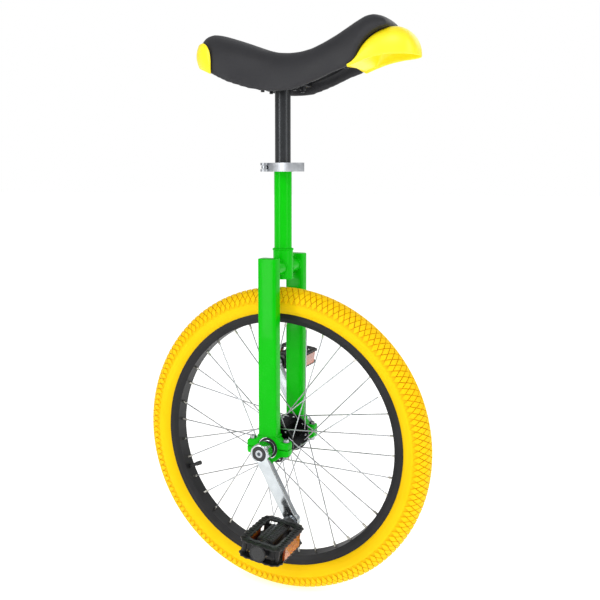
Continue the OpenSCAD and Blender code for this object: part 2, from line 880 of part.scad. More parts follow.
module tyre() {
    color(tyre_yellow)
    around_axle()
        difference() {
            union() {
                translate([tyre_section_z, 0]) circle(r = tyre_section_r);
                for (s = [-1, 1])
                    translate([bead_z, s * (bead_gap / 2 - bead_r)]) circle(r = bead_r);
            }
            translate([tyre_section_z, 0]) circle(r = tyre_section_r - tyre_wall);
            translate([bed_r - 1, -7.2]) square([tyre_section_z - bed_r, 14.4]);
            for (s = [-1, 1])
                translate([bed_r, s > 0 ? bead_gap / 2 : -bead_gap / 2 - 20]) square([rim_r + 0.6 - bed_r, 20]);
        }
}

// ---- cranks ----

// Puts a right crank's own frame, with its arm along -Z, onto the side s
module on_crank(s)
    at_axle() rotate([0, s < 0 ? -crank_lead : 180 - crank_lead, 0]) children();

module crank(s) {
    color(forged_alloy)
    on_crank(s)
        difference() {
            union() {
                ring_y(boss_r, 0, boss_inner, crank_face, s);
                translate([0, s * crank_face - (s > 0 ? crank_arm_t : 0), 0])
                    rotate([90, 0, 0]) mirror([0, 0, 1])
                        linear_extrude(crank_arm_t)
                            polygon([[-crank_arm_w / 2, 0], [crank_arm_w / 2, 0],
                                [crank_arm_w / 2 - 1.6, -crank_l], [1.6 - crank_arm_w / 2, -crank_l]]);
                translate([0, 0, -crank_l]) ring_y(eye_r, 0, crank_face - crank_arm_t, crank_face, s);
            }
            square_end(s, boss_inner - cut, bolt_seat);
            ring_y(dust_r, 0, bolt_seat, crank_face + cut, s);
            translate([0, 0, -crank_l]) ring_y(pedal_thread_r, 0, 0, crank_face + cut, s);
        }
}

module right_crank() crank(-1);
module left_crank() crank(1);

module crank_bolts() {
    color(bright_steel)
    for (s = [-1, 1])
        at_axle() {
            difference() {
                ring_y(crank_bolt_head_r, 0, bolt_seat, crank_face, s);
                rotate([0, 30, 0]) rotate([s > 0 ? -90 : 90, 0, 0])
                    translate([0, 0, crank_face - 5]) cylinder(r = 3.4, h = 6, $fn = 6);
            }
            ring_y(dust_r - 0.4, crank_bolt_head_r, bolt_seat, bolt_seat + 2, s);
            ring_y(crank_bolt_r, 0, bolt_seat - 22, bolt_seat, s);
        }
}

module crank_dust_rings() {
    color(dark_resin)
    at_axle()
        for (s = [-1, 1]) ring_y(dust_r, crank_bolt_head_r, crank_face - 4, crank_face, s);
}

module pedal_spindle(s) {
    color(bright_steel)
    on_crank(s)
        translate([0, 0, -crank_l]) {
            ring_y(pedal_thread_r, 0, crank_face - crank_arm_t, crank_face, s);
            ring_y(flats_r, 0, crank_face, pedal_inner - pass_gap, s);
            ring_y(spindle_r, 0, pedal_inner - pass_gap, deck_outer - 10, s);
        }
}

module right_pedal_spindle() pedal_spindle(-1);
module left_pedal_spindle() pedal_spindle(1);

// Puts a level pedal's frame, with its spindle along Y through the origin, onto the side s
module on_pedal(s)
    on_crank(s)
        translate([0, 0, -crank_l])
            rotate([0, (s < 0 ? crank_lead : crank_lead - 180) + pedal_tilt, 0])
                children();

module pedal_deck(s)
    translate([0, s * (deck_inner + deck_outer) / 2, 0])
        difference() {
            rounded_rect(pedal_w, pedal_l, 9);
            rounded_rect(pedal_w - 2 * rail_w, pedal_l - 2.4 * rail_w, 5);
        }

module pedal_body(s) {
    color(dark_resin)
    on_pedal(s)
        difference() {
            union() {
                ring_y(pedal_barrel_r, 0, pedal_inner, deck_outer - 3, s);
                for (z = [-pedal_h / 2, pedal_h / 2 - deck_t])
                    translate([0, 0, z])
                        linear_extrude(deck_t) pedal_deck(s);
                for (y = [deck_inner, deck_outer - 4.2])
                    translate([-12, s > 0 ? y : -y - 4, web_z]) cube([24, 4, -2 * web_z]);
                for (x = [-1, 1], y = [deck_inner + 12, deck_outer - 18])
                    translate([x * (pedal_w / 2 - 5.5) - 2.5, s > 0 ? y : -y - 6, web_z])
                        cube([5, 6, -2 * web_z]);
            }
            ring_y(spindle_r + 1.2, 0, pedal_inner - cut, deck_outer + cut, s);
            ring_y(bush_r, 0, pedal_inner - cut, pedal_inner + bush_l, s);
            ring_y(bush_r, 0, deck_outer - 10 - bush_l, deck_outer + cut, s);
            ring_y(pedal_barrel_r + bolt_fit, 0, deck_outer - 3, deck_outer + cut, s);
        }
}

module pedal_reflectors(s) {
    color(amber)
    on_pedal(s)
        for (x = [-1, 1])
            translate([x * (pedal_w / 2 - 2.5) - reflector_t / 2,
                s * (deck_inner + deck_outer) / 2 - reflector_l / 2, deck_t - pedal_h / 2])
                cube([reflector_t, reflector_l, pedal_h - 2 * deck_t]);
}

module pedal_bushes(s) {
    color("#d8d4c4")
    on_pedal(s) {
        ring_y(bush_r, spindle_r + turn_fit, pedal_inner, pedal_inner + bush_l, s);
        ring_y(bush_r, spindle_r + turn_fit, deck_outer - 10 - bush_l, deck_outer - 10, s);
    }
}

module pedal_cap(s) {
    color(dark_resin)
    on_pedal(s) {
        ring_y(bush_r, 0, deck_outer - 8, deck_outer - 3, s);
        ring_y(pedal_barrel_r, 0, deck_outer - 3, deck_outer - 0.5, s);
    }
}

module right_pedal_body() pedal_body(-1);
module left_pedal_body() pedal_body(1);
module right_pedal_bushes() pedal_bushes(-1);
module left_pedal_bushes() pedal_bushes(1);
module right_pedal_cap() pedal_cap(-1);
module left_pedal_cap() pedal_cap(1);
module right_pedal_reflectors() pedal_reflectors(-1);
module left_pedal_reflectors() pedal_reflectors(1);

seat_tube();
seat_tube_sleeve();
crown_tubes();
right_leg();
left_leg();
right_bearing_cap();
left_bearing_cap();
cap_bolts();
cap_nuts();
bearing_outer_races();
bearing_seals();
bearing_balls();
ball_cages();
bearing_inner_races();
clamp_collar();
clamp_skewer();
clamp_hand_nut();
clamp_lever();
lever_cam_pin();
seat_post();
post_plate();
saddle_base();
saddle_cushion();
front_bumper();
rear_bumper();
plate_studs();
plate_nuts();
base_screws();
hub_shell();
axle();
axle_spacers();
spokes();
spoke_nipples();
rim();
rim_tape();
inner_tube();
valve_stem();
valve_ring();
valve_cap();
tyre();
right_crank();
left_crank();
crank_bolts();
crank_dust_rings();
right_pedal_spindle();
left_pedal_spindle();
right_pedal_body();
right_pedal_bushes();
right_pedal_cap();
right_pedal_reflectors();
left_pedal_body();
left_pedal_bushes();
left_pedal_cap();
left_pedal_reflectors();
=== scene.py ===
"""Looks for a 20 inch unicycle, laid out as an add-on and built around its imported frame."""
import json
import math

import bmesh
import bpy
import numpy as np
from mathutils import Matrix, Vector


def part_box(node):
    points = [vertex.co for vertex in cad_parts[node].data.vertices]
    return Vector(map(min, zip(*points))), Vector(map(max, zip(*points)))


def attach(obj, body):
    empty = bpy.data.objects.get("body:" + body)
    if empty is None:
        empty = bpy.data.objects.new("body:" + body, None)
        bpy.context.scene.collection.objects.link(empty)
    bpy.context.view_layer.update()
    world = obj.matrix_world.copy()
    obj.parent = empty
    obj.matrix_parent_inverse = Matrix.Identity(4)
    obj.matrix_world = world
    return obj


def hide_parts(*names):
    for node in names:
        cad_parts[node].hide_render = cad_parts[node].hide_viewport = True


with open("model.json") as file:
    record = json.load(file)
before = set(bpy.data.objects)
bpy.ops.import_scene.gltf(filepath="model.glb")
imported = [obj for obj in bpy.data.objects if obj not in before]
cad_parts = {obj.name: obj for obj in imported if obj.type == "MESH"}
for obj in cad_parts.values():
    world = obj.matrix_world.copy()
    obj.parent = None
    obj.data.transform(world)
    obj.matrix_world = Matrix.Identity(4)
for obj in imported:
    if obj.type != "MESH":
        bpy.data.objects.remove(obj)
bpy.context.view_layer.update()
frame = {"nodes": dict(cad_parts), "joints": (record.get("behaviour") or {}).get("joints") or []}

bl_info = {
    "name": "Unicycle looks",
    "version": (1, 0, 0),
    "blender": (4, 5, 0),
    "location": "3D View > Sidebar > Unicycle",
    "description": "Tyre, spokes, saddle, cranks, pedals and finishes around a unicycle's frame",
    "category": "Object",
}

MM = 0.001
NODES = frame["nodes"]
JOINTS = {j["name"]: Vector(j["pos_m"]) for j in frame["joints"] if j.get("pos_m")}
AXLE = JOINTS["wheel_spin"]
TYRE_LOW, TYRE_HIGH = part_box("tyre")
RIM_LOW, RIM_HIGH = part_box("rim")
TYRE_R = (TYRE_HIGH.z - TYRE_LOW.z) / 2
TYRE_HALF = (TYRE_HIGH.y - TYRE_LOW.y) / 2
SECTION_R = TYRE_R - TYRE_HALF
RIM_R = (RIM_HIGH.z - RIM_LOW.z) / 2
BED_R = RIM_R - 14.8 * MM
MATERIALS = {}


# ---- colour, nodes and materials ----

def linear(code):
    """A colour written as sRGB hex, as linear red, green, blue and alpha."""
    parts = [int(code[i:i + 2], 16) / 255 for i in (1, 3, 5)]
    return tuple(v / 12.92 if v <= 0.04045 else ((v + 0.055) / 1.055) ** 2.4 for v in parts) + (1.0,)


def add_node(tree, kind, inputs=None, **settings):
    """Adds a node with its settings. An input given as a socket is linked, and anything else is a value."""
    made = tree.nodes.new(kind)
    for name, value in settings.items():
        setattr(made, name, value)
    for key, value in (inputs or {}).items():
        if isinstance(value, bpy.types.NodeSocket):
            tree.links.new(value, made.inputs[key])
        else:
            made.inputs[key].default_value = value
    return made


def start_material(name, **surface):
    """A new material with its shader's own sockets set. Returns its tree, shader and object coordinates."""
    made = bpy.data.materials.new(name)
    made.use_nodes = True
    tree = made.node_tree
    shader = tree.nodes["Principled BSDF"]
    for key, value in surface.items():
        shader.inputs[key.replace("_", " ").title().replace("Ior", "IOR")].default_value = value
    MATERIALS[name] = made
    return tree, shader, add_node(tree, "ShaderNodeTexCoord").outputs["Object"]


def blend_colours(tree, factor, low, high):
    """Two linear colours mixed by a factor from 0 to 1."""
    mixed = add_node(tree, "ShaderNodeMix", {0: factor, 6: low, 7: high}, data_type="RGBA")
    return mixed.outputs[2]


def span(tree, value, low, high, start=0.0, end=1.0):
    """A value carried from start..end onto low..high."""
    return add_node(tree, "ShaderNodeMapRange", {"Value": value, "From Min": start, "From Max": end,
        "To Min": low, "To Max": high}).outputs["Result"]


def surface_finish(name, dark, light, metallic=0.0, roughness=(0.3, 0.4), grain_mm=1.0, bump=0.1,
                   stretch=(1, 1, 1), blotch_mm=25.0, depth_mm=0.1, **surface):
    """A finish with slow colour changes, finer changes of gloss, and a grain that lifts the surface.
    stretch draws the grain out along an axis, as brushing or drawing does."""
    tree, shader, place = start_material(name, metallic=metallic, **surface)
    blotches = add_node(tree, "ShaderNodeTexNoise", {"Vector": place, "Scale": 1 / (blotch_mm * MM),
        "Detail": 3.0, "Roughness": 0.55}).outputs["Fac"]
    drawn = add_node(tree, "ShaderNodeMapping", {"Vector": place, "Scale": stretch}).outputs["Vector"]
    grain = add_node(tree, "ShaderNodeTexNoise", {"Vector": drawn, "Scale": 1 / (grain_mm * MM),
        "Detail": 2.0}).outputs["Fac"]
    tree.links.new(blend_colours(tree, span(tree, blotches, 0, 1, 0.3, 0.7), dark, light),
        shader.inputs["Base Color"])
    mixed = add_node(tree, "ShaderNodeMath", {0: blotches, 1: grain}, operation="MULTIPLY").outputs[0]
    tree.links.new(span(tree, mixed, *roughness, 0.12, 0.38), shader.inputs["Roughness"])
    lifted = add_node(tree, "ShaderNodeBump", {"Height": grain, "Strength": bump,
        "Distance": depth_mm * MM})
    tree.links.new(lifted.outputs["Normal"], shader.inputs["Normal"])
    return tree, shader, place, lifted


def around_axle(tree, place):
    """Distance from the axle's line, distance from the tyre's section centre, and angle about the axle."""
    parts = add_node(tree, "ShaderNodeSeparateXYZ", {"Vector": place})
    up = add_node(tree, "ShaderNodeMath", {0: parts.outputs["Z"], 1: AXLE.z}, operation="SUBTRACT").outputs[0]
    flat = add_node(tree, "ShaderNodeCombineXYZ", {"X": parts.outputs["X"], "Y": up})
    out = add_node(tree, "ShaderNodeVectorMath", {0: flat.outputs[0]}, operation="LENGTH").outputs["Value"]
    shift = add_node(tree, "ShaderNodeMath", {0: out, 1: SECTION_R}, operation="SUBTRACT").outputs[0]
    pair = add_node(tree, "ShaderNodeCombineXYZ", {"X": shift, "Y": parts.outputs["Y"]})
    section = add_node(tree, "ShaderNodeVectorMath", {0: pair.outputs[0]},
        operation="LENGTH").outputs["Value"]
    turn = add_node(tree, "ShaderNodeMath", {0: up, 1: parts.outputs["X"]}, operation="ARCTAN2").outputs[0]
    return out, section, turn


def make_materials(colours):
    """Every finish on the unicycle, each starting from what the real one is made of."""
    frame_colour = tuple(colours.frame_paint)
    shade = tuple(c * 0.9 for c in frame_colour[:3]) + (1.0,)
    # Powder coat baked on steel: an even, deep colour, a clear gloss and a faint orange peel 1.5 mm across
    surface_finish("green_powder_coat", shade, frame_colour, roughness=(0.2, 0.3), grain_mm=1.5, bump=0.08,
        blotch_mm=60, depth_mm=0.04, specular_ior_level=0.07, coat_weight=0.06, coat_roughness=0.06)
    # Zinc-plated steel: bright, a little cool and cloudy, with fine handling marks
    surface_finish("zinc_plated_steel", linear("#989CA1"), linear("#BDC0C4"), 1.0, (0.2, 0.34), 0.8, 0.08)
    # Ground bearing steel: bright and smooth
    surface_finish("ground_bearing_steel", linear("#C4C7CB"), linear("#DADCDF"), 1.0, (0.1, 0.18), 0.4, 0.04)
    # Drawn stainless wire: bright, with faint draw lines along its length
    surface_finish("stainless_spoke_wire", linear("#96999D"), linear("#C2C5C9"), 1.0, (0.2, 0.32), 0.6, 0.05)
    # Nickel-plated brass nipples: a touch warmer and softer than the wire
    surface_finish("nickel_plated_brass", linear("#C0BDB4"), linear("#DAD8D0"), 1.0, (0.2, 0.32), 0.5, 0.05)
    # Turned and polished aluminium of the clamp: pale, with fine lines around its turning axis
    surface_finish("turned_polished_aluminium", linear("#A0A3A8"), linear("#BDC0C4"), 1.0, (0.3, 0.42), 0.35,
        0.1, (0.15, 0.15, 3.0), 12)
    # Forged and tumbled aluminium of the cranks: near mirror, softened by a slow ripple from the
    # polishing wheel
    surface_finish("polished_forged_aluminium", linear("#AEB4B8"), linear("#C8CDD0"), 1.0, (0.12, 0.22), 9.0,
        0.05, (1, 1, 0.35), 30)
    # Black chrome on the steel post: dark and glossy, with faint upright lines from the sliding clamp
    surface_finish("black_chromed_steel", linear("#232527"), linear("#333538"), 0.6, (0.24, 0.32), 0.5, 0.05,
        (3.0, 3.0, 0.08), 40, specular_ior_level=0.7)
    # Phosphated black steel plate and small fittings: dull and slightly rough
    surface_finish("phosphated_black_steel", linear("#1D1E20"), linear("#2C2D30"), 0.6, (0.4, 0.55), 0.7,
        0.12)
    # Glass-filled nylon of the saddle's base: black, with moulding texture and a soft gloss
    surface_finish("moulded_black_nylon", linear("#0E0F10"), linear("#17181A"), 0.0, (0.34, 0.5), 0.9, 0.15,
        specular_ior_level=0.25)
    # Anodised hub shell: deep black with a satin metal gloss and fine lathe lines
    surface_finish("black_anodised_hub", linear("#0E0F10"), linear("#1C1D1F"), 0.7, (0.22, 0.34), 0.5, 0.08,
        (0.2, 3.0, 0.2), 15)
    # Moulded rubber of seals, valve and tape: matt dark grey
    surface_finish("moulded_black_rubber", linear("#171718"), linear("#232325"), 0.0, (0.5, 0.7), 0.6, 0.15)
    # Injection-moulded black ABS of caps and rings: glossier than the rubber
    surface_finish("moulded_black_plastic", linear("#131314"), linear("#1F2021"), 0.0, (0.22, 0.36), 0.8,
        0.08)
    # Natural nylon ball cage: waxy and straw coloured
    surface_finish("natural_nylon", linear("#8A6A35"), linear("#A98A52"), 0.0, (0.35, 0.45), 0.6, 0.08)
    # Acetal bush: milky and smooth
    surface_finish("white_acetal", linear("#D2CEBE"), linear("#E6E2D5"), 0.0, (0.3, 0.4), 0.6, 0.05)
    # Moulded polyethylene of the bumpers: bright yellow, waxy, with very fine mould grain and soft scuffs
    yellow = tuple(colours.bumper)
    warm = (yellow[0] * 0.96, yellow[1] * 0.9, yellow[2] * 0.7, 1.0)
    surface_finish("moulded_yellow_polyethylene", warm, yellow, 0.0, (0.3, 0.45), 0.7, 0.08, blotch_mm=35,
        subsurface_weight=0.12, subsurface_radius=(0.004, 0.003, 0.001), subsurface_scale=1.0)
    # Glass-filled resin of the pedals: charcoal, with a pebbled mould texture
    tree, shader, place, lifted = surface_finish("pebbled_pedal_resin", linear("#0C0C0D"),
        linear("#151517"), 0.0,
        (0.3, 0.46), 0.8, 0.2, specular_ior_level=0.3)
    pebbles = add_node(tree, "ShaderNodeTexVoronoi", {"Vector": place, "Scale": 1 / (1.6 * MM)},
        feature="SMOOTH_F1").outputs["Distance"]
    tree.links.new(add_node(tree, "ShaderNodeBump", {"Height": pebbles, "Strength": 0.25,
        "Distance": 0.25 * MM, "Normal": lifted.outputs["Normal"]}).outputs["Normal"],
        shader.inputs["Normal"])
    make_tyre_rubber(colours)
    make_rim_finish()
    make_saddle_cover(colours)
    make_reflector()
    # Painted studio floor: pale and even, with the faintest mottling
    surface_finish("pale_studio_floor", linear("#F4F4F3"), linear("#F9F9F8"), 0.0, (0.55, 0.65), 6.0, 0.02,
        blotch_mm=400, emission_color=(1.0, 1.0, 1.0, 1.0), emission_strength=0.6)


def make_tyre_rubber(colours):
    """Yellow tyre compound: matt, warmer and darker down in the tread's grooves, where shade is painted in
    with some dust, and palest on the tops of the blocks, which get none of that painted shade."""
    tree, shader, place = start_material("yellow_tyre_rubber", specular_ior_level=0.12)
    out, section, _ = around_axle(tree, place)
    top = tuple(colours.tyre)
    # painted shade: the grooves' colour, darker and warmer than the yellow, stands in for the shade between
    # the blocks, with some dust
    low = (top[0] * 0.6, top[1] * 0.42, top[2] * 0.5, 1.0)
    height = span(tree, section, 0, 1, TYRE_HALF - 1.9 * MM, TYRE_HALF - 0.7 * MM)
    side = span(tree, out, 0, 1, SECTION_R - 2 * MM, SECTION_R + 9 * MM)
    # painted shade mask: full in the grooves and on the ground under the tread, nothing on the block tops and
    # the sidewalls
    cavity = add_node(tree, "ShaderNodeMath", {0: 1.0, 1: height}, operation="SUBTRACT").outputs[0]
    shade = add_node(tree, "ShaderNodeMath", {0: cavity, 1: side}, operation="MULTIPLY").outputs[0]
    stain = add_node(tree, "ShaderNodeTexNoise", {"Vector": place, "Scale": 1 / (40 * MM),
        "Detail": 4.0}).outputs["Fac"]
    base = blend_colours(tree, shade, top, low)
    warm = blend_colours(tree, span(tree, stain, 0, 0.5, 0.45, 0.75), base,
        (top[0] * 0.96, top[1] * 0.92, top[2], 1.0))
    tree.links.new(warm, shader.inputs["Base Color"])
    tree.links.new(span(tree, stain, 0.5, 0.66, 0.3, 0.7), shader.inputs["Roughness"])
    # casing cords barely show through the sidewall, 1.2 mm apart
    cords = add_node(tree, "ShaderNodeMath", {0: add_node(tree, "ShaderNodeMath",
        {0: section, 1: 2 * math.pi / (1.2 * MM)}, operation="MULTIPLY").outputs[0]},
        operation="SINE").outputs[0]
    fine = add_node(tree, "ShaderNodeTexNoise", {"Vector": place, "Scale": 1 / (0.9 * MM)}).outputs["Fac"]
    height = add_node(tree, "ShaderNodeMath", {0: fine, 1: cords}, operation="ADD").outputs[0]
    tree.links.new(add_node(tree, "ShaderNodeBump", {"Height": height, "Strength": 0.12,
        "Distance": 0.12 * MM}).outputs["Normal"], shader.inputs["Normal"])


def make_rim_finish():
    """Black anodised aluminium extrusion: satin, with drawn lines that run round the rim 0.8 mm apart."""
    tree, shader, place = start_material("black_anodised_rim", metallic=0.1, specular_ior_level=0.2)
    out, _, turn = around_axle(tree, place)
    parts = add_node(tree, "ShaderNodeSeparateXYZ", {"Vector": place})
    drawn = add_node(tree, "ShaderNodeCombineXYZ", {
        "X": add_node(tree, "ShaderNodeMath", {0: out, 1: 1 / (0.8 * MM)}, operation="MULTIPLY").outputs[0],
        "Y": add_node(tree, "ShaderNodeMath", {0: parts.outputs["Y"], 1: 1 / (0.8 * MM)},
            operation="MULTIPLY").outputs[0],
        "Z": turn})
    lines = add_node(tree, "ShaderNodeTexNoise", {"Vector": drawn.outputs[0], "Scale": 1.0,
        "Detail": 2.0}).outputs["Fac"]
    cloud = add_node(tree, "ShaderNodeTexNoise", {"Vector": place, "Scale": 1 / (50 * MM)}).outputs["Fac"]
    tree.links.new(blend_colours(tree, span(tree, cloud, 0, 1, 0.3, 0.7), linear("#1C1C1D"),
        linear("#272729")),
        shader.inputs["Base Color"])
    tree.links.new(span(tree, lines, 0.36, 0.5, 0.3, 0.7), shader.inputs["Roughness"])
    tree.links.new(add_node(tree, "ShaderNodeBump", {"Height": lines, "Strength": 0.08,
        "Distance": 0.1 * MM}).outputs["Normal"], shader.inputs["Normal"])


def make_saddle_cover(colours):
    """Embossed vinyl over foam: matt charcoal with a soft sheen, a leather-like grain 0.9 mm across,
    and wide soft creases where the foam gives."""
    tree, shader, place = start_material("embossed_saddle_vinyl", specular_ior_level=0.3, sheen_weight=0.06,
        sheen_roughness=0.5, sheen_tint=linear("#B9BDC8"))
    cells = add_node(tree, "ShaderNodeTexVoronoi", {"Vector": place, "Scale": 1 / (0.9 * MM)},
        feature="DISTANCE_TO_EDGE").outputs["Distance"]
    creases = add_node(tree, "ShaderNodeTexNoise", {"Vector": place, "Scale": 1 / (30 * MM),
        "Detail": 3.0}).outputs["Fac"]
    cover = tuple(colours.saddle)
    worn = tuple(min(c * 1.35, 1) for c in cover[:3]) + (1.0,)
    tree.links.new(blend_colours(tree, span(tree, creases, 0, 1, 0.3, 0.75), cover, worn),
        shader.inputs["Base Color"])
    tree.links.new(span(tree, creases, 0.44, 0.6, 0.3, 0.7), shader.inputs["Roughness"])
    grain = add_node(tree, "ShaderNodeBump", {"Height": span(tree, cells, 0, 1, 0, 0.3), "Strength": 0.22,
        "Distance": 0.12 * MM})
    tree.links.new(add_node(tree, "ShaderNodeBump", {"Height": creases, "Strength": 0.15,
        "Distance": 1.5 * MM,
        "Normal": grain.outputs["Normal"]}).outputs["Normal"], shader.inputs["Normal"])


def make_reflector():
    """Amber acrylic reflector: glossy outside, with the small prisms of its back showing through
    2.5 mm apart."""
    tree, shader, place = start_material("amber_acrylic", roughness=0.12, coat_weight=0.6,
        coat_roughness=0.05)
    prisms = add_node(tree, "ShaderNodeTexVoronoi", {"Vector": place, "Scale": 1 / (2.5 * MM),
        "Randomness": 0.0}, distance="MANHATTAN").outputs["Distance"]
    tree.links.new(blend_colours(tree, prisms, linear("#D96510"), linear("#8A3404")),
        shader.inputs["Base Color"])
    tree.links.new(add_node(tree, "ShaderNodeBump", {"Height": prisms, "Strength": 0.5,
        "Distance": 0.6 * MM}).outputs["Normal"], shader.inputs["Normal"])


# ---- mesh making ----

def place_piece(name, body, slot, material, points, faces, sharp=38, replaced=(), recalculate=True):
    """A mesh piece in the row frame that rides on a body."""
    mesh = bpy.data.meshes.new(name)
    mesh.from_pydata([tuple(p) for p in points], [], faces)
    work = bmesh.new()
    work.from_mesh(mesh)
    bmesh.ops.remove_doubles(work, verts=work.verts, dist=1e-6)
    bmesh.ops.dissolve_degenerate(work, edges=work.edges, dist=1e-7)
    if recalculate:
        bmesh.ops.recalc_face_normals(work, faces=work.faces)
    work.to_mesh(mesh)
    work.free()
    return settle_piece(name, body, material, mesh, sharp, replaced)


def settle_piece(name, body, material, mesh, sharp=38, replaced=()):
    """Puts a finished mesh in the scene as a piece, smooth but for edges sharper than an angle."""
    mesh.name = name
    mesh.shade_smooth()
    mesh.set_sharp_from_angle(angle=math.radians(sharp))
    mesh.materials.clear()
    mesh.materials.append(MATERIALS[material])
    piece = bpy.data.objects.new(name, mesh)
    bpy.context.scene.collection.objects.link(piece)
    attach(piece, body)
    if replaced:
        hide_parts(*replaced)
    return piece


def join_parts(*parts):
    """Several (points, faces) pairs as one."""
    points, faces = [], []
    for more_points, more_faces in parts:
        start = len(points)
        points.extend(more_points)
        faces.extend([tuple(i + start for i in f) for f in more_faces])
    return points, faces


def loft(rings, caps=True, around=False):
    """Skins closed rings of equally many points; around joins the last ring to the first."""
    count = len(rings[0])
    points = [Vector(p) for ring in rings for p in ring]
    faces = []
    steps = len(rings) if around else len(rings) - 1
    for i in range(steps):
        a, b = i * count, (i + 1) % len(rings) * count
        for k in range(count):
            n = (k + 1) % count
            faces.append((a + k, a + n, b + n, b + k))
    if caps and not around:
        faces.append(tuple(range(count - 1, -1, -1)))
        faces.append(tuple(range(len(points) - count, len(points))))
    return points, faces


def turned(profile, centre, steps=64):
    """A closed profile of (radius, distance along Y) turned about a line along Y through centre."""
    rings = []
    for i in range(steps):
        a = 2 * math.pi * i / steps
        rings.append([(centre[0] + r * math.cos(a), centre[1] + y, centre[2] + r * math.sin(a))
            for r, y in profile])
    return loft(rings, around=True)


def tube(path, radii, sides=10):
    """A closed tube along a path, with one radius for each of its points."""
    path = [Vector(p) for p in path]
    side = None
    rings = []
    for i, p in enumerate(path):
        ahead = (path[min(i + 1, len(path) - 1)] - path[max(i - 1, 0)]).normalized()
        if side is None:
            side = ahead.orthogonal().normalized()
        side = (side - ahead * side.dot(ahead)).normalized()
        across = ahead.cross(side)
        rings.append([p + (side * math.cos(t) + across * math.sin(t)) * radii[i]
            for t in (2 * math.pi * k / sides for k in range(sides))])
    return loft(rings)


def flat_with_hole(outer, holes=()):
    """Fills a flat outline around its holes and returns points and triangles."""
    work = bmesh.new()
    edges = []
    for ring in (outer, *holes):
        made = [work.verts.new(p) for p in ring]
        edges += [work.edges.new((made[i], made[(i + 1) % len(made)])) for i in range(len(made))]
    bmesh.ops.triangle_fill(work, edges=edges, use_beauty=True, use_dissolve=False)
    work.verts.index_update()
    result = [v.co.copy() for v in work.verts], [tuple(v.index for v in f.verts) for f in work.faces]
    work.free()
    return result


def drawn_in(outline, amount):
    """A closed outline of (u, v) points, counterclockwise, moved inwards by an amount."""
    result = []
    for i, p in enumerate(outline):
        before = np.subtract(p, outline[i - 1])
        after = np.subtract(outline[(i + 1) % len(outline)], p)
        normals = [np.array((-d[1], d[0])) / (np.hypot(*d) or 1) for d in (before, after)]
        middle = normals[0] + normals[1]
        middle /= max(np.dot(middle, normals[0]), 0.35)
        result.append((p[0] + middle[0] * amount, p[1] + middle[1] * amount))
    return result


def plate(outline, holes, low, high, edge, put, steps=3):
    """A flat plate with rounded edges. put carries (u, v, height) into the row frame."""
    levels = []
    for k in range(steps + 1):
        t = math.pi / 2 * k / steps
        levels.append((low + edge * (1 - math.sin(t)), edge * (1 - math.cos(t))))
    levels = levels[::-1] + [(high - edge * (1 - math.sin(math.pi / 2 * k / steps)),
        edge * (1 - math.cos(math.pi / 2 * k / steps))) for k in range(steps + 1)]
    sides = []
    for ring, sign in [(outline, 1), *[(h, -1) for h in holes]]:
        sides.append(loft([[put(u, v, w) for u, v in drawn_in(ring, inset * sign)] for w, inset in levels],
            caps=False))
    caps = []
    for w, inset in (levels[0], levels[-1]):
        caps.append(flat_with_hole([put(u, v, w) for u, v in drawn_in(outline, inset)],
            [[put(u, v, w) for u, v in drawn_in(h, -inset)] for h in holes]))
    return join_parts(*sides, *caps)


def circle(radius, count=48, centre=(0, 0)):
    return [(centre[0] + radius * math.cos(2 * math.pi * k / count),
        centre[1] + radius * math.sin(2 * math.pi * k / count)) for k in range(count)]


def rounded_box(width, height, radius, centre=(0, 0), count=6):
    """A rectangle with round corners, counterclockwise."""
    points = []
    for corner, (i, j) in enumerate(((1, 1), (-1, 1), (-1, -1), (1, -1))):
        for k in range(count + 1):
            a = math.pi / 2 * (corner + k / count)
            points.append((centre[0] + i * (width / 2 - radius) + radius * math.cos(a),
                centre[1] + j * (height / 2 - radius) + radius * math.sin(a)))
    return points


def smooth_curve(points, steps=8):
    """A smooth line through a few points."""
    p = np.array(points, float)
    line = []
    for i in range(len(p) - 1):
        a, b, c, d = p[max(i - 1, 0)], p[i], p[i + 1], p[min(i + 2, len(p) - 1)]
        for t in np.arange(steps) / steps:
            line.append(0.5 * (2 * b + (c - a) * t + (2 * a - 5 * b + 4 * c - d) * t ** 2
                + (3 * b - a - 3 * c + d) * t ** 3))
    line.append(p[-1])
    return np.array(line)


# ---- geometry node trees ----

def node_tree_with(name, sockets):
    """A geometry tree with a mesh in, a mesh out and named inputs."""
    tree = bpy.data.node_groups.new(name, "GeometryNodeTree")
    tree.interface.new_socket("Mesh", in_out="INPUT", socket_type="NodeSocketGeometry")
    for label, kind in sockets:
        tree.interface.new_socket(label, in_out="INPUT", socket_type=kind)
    tree.interface.new_socket("Mesh", in_out="OUTPUT", socket_type="NodeSocketGeometry")
    return tree, add_node(tree, "NodeGroupInput").outputs


def finish_tree(tree, instances, material):
    """Ends a tree in real geometry with its material."""
    real = add_node(tree, "GeometryNodeRealizeInstances", {"Geometry": instances})
    dressed = add_node(tree, "GeometryNodeSetMaterial", {"Geometry": real.outputs[0], "Material": material})
    add_node(tree, "NodeGroupOutput", {0: dressed.outputs[0]})


def ring_tree():
    """Copies a shape, drawn about the origin, round a line along Y through a centre."""
    tree, given = node_tree_with("Copies around an axle", (("Copies", "NodeSocketInt"),
        ("Centre", "NodeSocketVector"), ("Material", "NodeSocketMaterial")))
    spots = add_node(tree, "GeometryNodePoints", {"Count": given["Copies"], "Position": given["Centre"]})
    step = add_node(tree, "ShaderNodeMath", {0: 2 * math.pi, 1: given["Copies"]},
        operation="DIVIDE").outputs[0]
    index = add_node(tree, "GeometryNodeInputIndex").outputs[0]
    turn = add_node(tree, "ShaderNodeMath", {0: index, 1: step}, operation="MULTIPLY").outputs[0]
    angle = add_node(tree, "ShaderNodeCombineXYZ", {"Y": turn}).outputs[0]
    copies = add_node(tree, "GeometryNodeInstanceOnPoints", {"Points": spots.outputs[0],
        "Instance": given["Mesh"], "Rotation": angle})
    finish_tree(tree, copies.outputs[0], given["Material"])
    return tree


